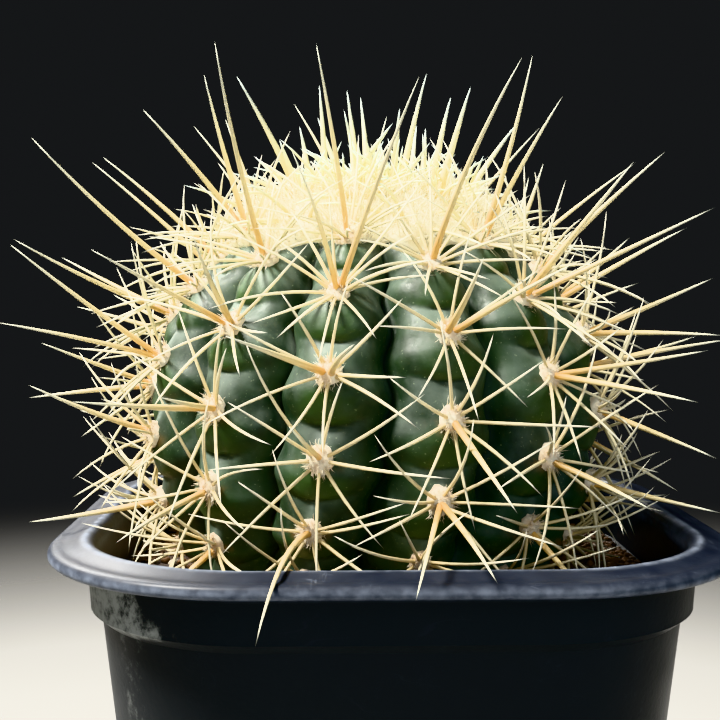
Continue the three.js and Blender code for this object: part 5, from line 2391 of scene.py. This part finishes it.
@dataclass(frozen=True)
class SoftLight:
    """A square soft light: place and side in metres, power in watts, beam in degrees, and colour."""

    name: str
    place: Triple
    side: float
    power: float
    beam: float
    colour: Triple

    def shine(self, aim: Vector) -> None:
        """Puts the light into the scene.

        Args:
            aim: The point that it faces, in metres.
        """
        lamp = bpy.data.lights.new(self.name, "AREA")
        lamp.size = self.side
        lamp.spread = math.radians(self.beam)
        lamp.energy = self.power
        lamp.color = self.colour
        made = placed(self.name, lamp)
        made.location = self.place
        made.rotation_euler = (aim - Vector(self.place)).to_track_quat("-Z", "Y").to_euler()


@dataclass
class Studio:
    """Pale floor, soft lights, and the camera at the photograph's viewing angle."""

    floor_half: float = 0.7
    floor_fade: Pair = (0.12, 0.5)
    floor_tones: tuple[Colour, Colour] = (srgb(140, 139, 136), srgb(150, 149, 146))
    floor_roughness: float = 0.85
    aim_height: float = 0.09
    surround: Colour = (0.86, 0.88, 0.9, 1)
    surround_strength: float = 0.04
    camera_place: Triple = (-8.88, -173.0, 111.68)
    camera_yaw: float = 1.665
    camera_pitch: float = 3.31
    camera_roll: float = 0.09
    focal_pixels: float = 1177.0
    photo_side: float = 720.0
    sensor: float = 36.0

    LIGHTS = (
        SoftLight("key", (-0.42, -0.14, 0.76), side=0.2, power=3.9, beam=60.0, colour=(1.0, 0.97, 0.9)),
        SoftLight("back", (-0.3, 0.5, 0.55), side=0.35, power=1.7, beam=70.0, colour=(1.0, 0.98, 0.94)),
        SoftLight("fill", (0.3, -0.8, 0.35), side=0.9, power=1.5, beam=90.0, colour=(0.86, 0.93, 1.0)),
    )

    def floor(self) -> None:
        """Lays the floor at the pot's foot."""
        half = self.floor_half
        corners = [(-half, -half, 0), (half, -half, 0), (half, half, 0), (-half, half, 0)]
        mesh = bpy.data.meshes.new("floor")
        mesh.from_pydata(corners, [], [(0, 1, 2, 3)])
        material, wiring, shader = new_material("floor")
        place = wiring.node("ShaderNodeTexCoord").outputs["Object"]
        reach = wiring.node("ShaderNodeVectorMath", place, operation="LENGTH").outputs["Value"]
        cloud = wiring.span(wiring.noise(3, 3), 0.3, 0.7)
        colour = wiring.blend(cloud, *self.floor_tones)
        shown = wiring.span(reach, *self.floor_fade, 1.0, 0.0)
        wiring.fill(shader, Base_Color=colour, Roughness=self.floor_roughness, Alpha=shown)
        mesh.materials.append(material)
        placed("floor", mesh)

    def lights(self) -> None:
        """Sets the soft lights and the dim surroundings."""
        for light in self.LIGHTS:
            light.shine(Vector((0, 0, self.aim_height)))
        world = bpy.data.worlds.new("studio")
        world.use_nodes = True
        sky = world.node_tree.nodes["Background"]
        sky.inputs["Color"].default_value = self.surround
        sky.inputs["Strength"].default_value = self.surround_strength
        bpy.context.scene.world = world

    def camera(self) -> None:
        """Places the camera where the photograph was taken from."""
        lens = bpy.data.cameras.new("camera")
        lens.sensor_width = self.sensor
        lens.lens = self.focal_pixels / self.photo_side * self.sensor
        lens.clip_start = 0.01
        made = placed("camera", lens)
        yaw = Matrix.Rotation(-math.radians(self.camera_yaw), 4, "Z")
        pitch = Matrix.Rotation(math.radians(90 - self.camera_pitch), 4, "X")
        roll = Matrix.Rotation(math.radians(self.camera_roll), 4, "Z")
        made.matrix_world = Matrix.Translation(Vector(self.camera_place) * MM) @ yaw @ pitch @ roll
        bpy.context.scene.camera = made

    def build(self) -> None:
        """Sets up the studio."""
        self.floor()
        self.lights()
        self.camera()


def main() -> None:
    """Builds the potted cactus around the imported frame."""
    logging.basicConfig(level=logging.INFO, format="%(name)s: %(message)s")
    bpy.context.scene.view_settings.view_transform = "Khronos PBR Neutral"
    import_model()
    Studio().build()
    effects = SharedEffects()
    form = PlantForm()
    pot = Pot()
    grower = SpineGrower(form, pot)
    grower.grow_all()
    LOG.info("grew %d spines", len(grower.spines))
    pot.build(effects)
    Soil(form, pot).build(effects)
    body = Body(form)
    body.build(effects)
    Felt(form, grower).build(effects)
    CrownFelt(form, grower, body).build(effects)
    SpineCoat(grower).build(effects)


if __name__ == "__main__":
    main()
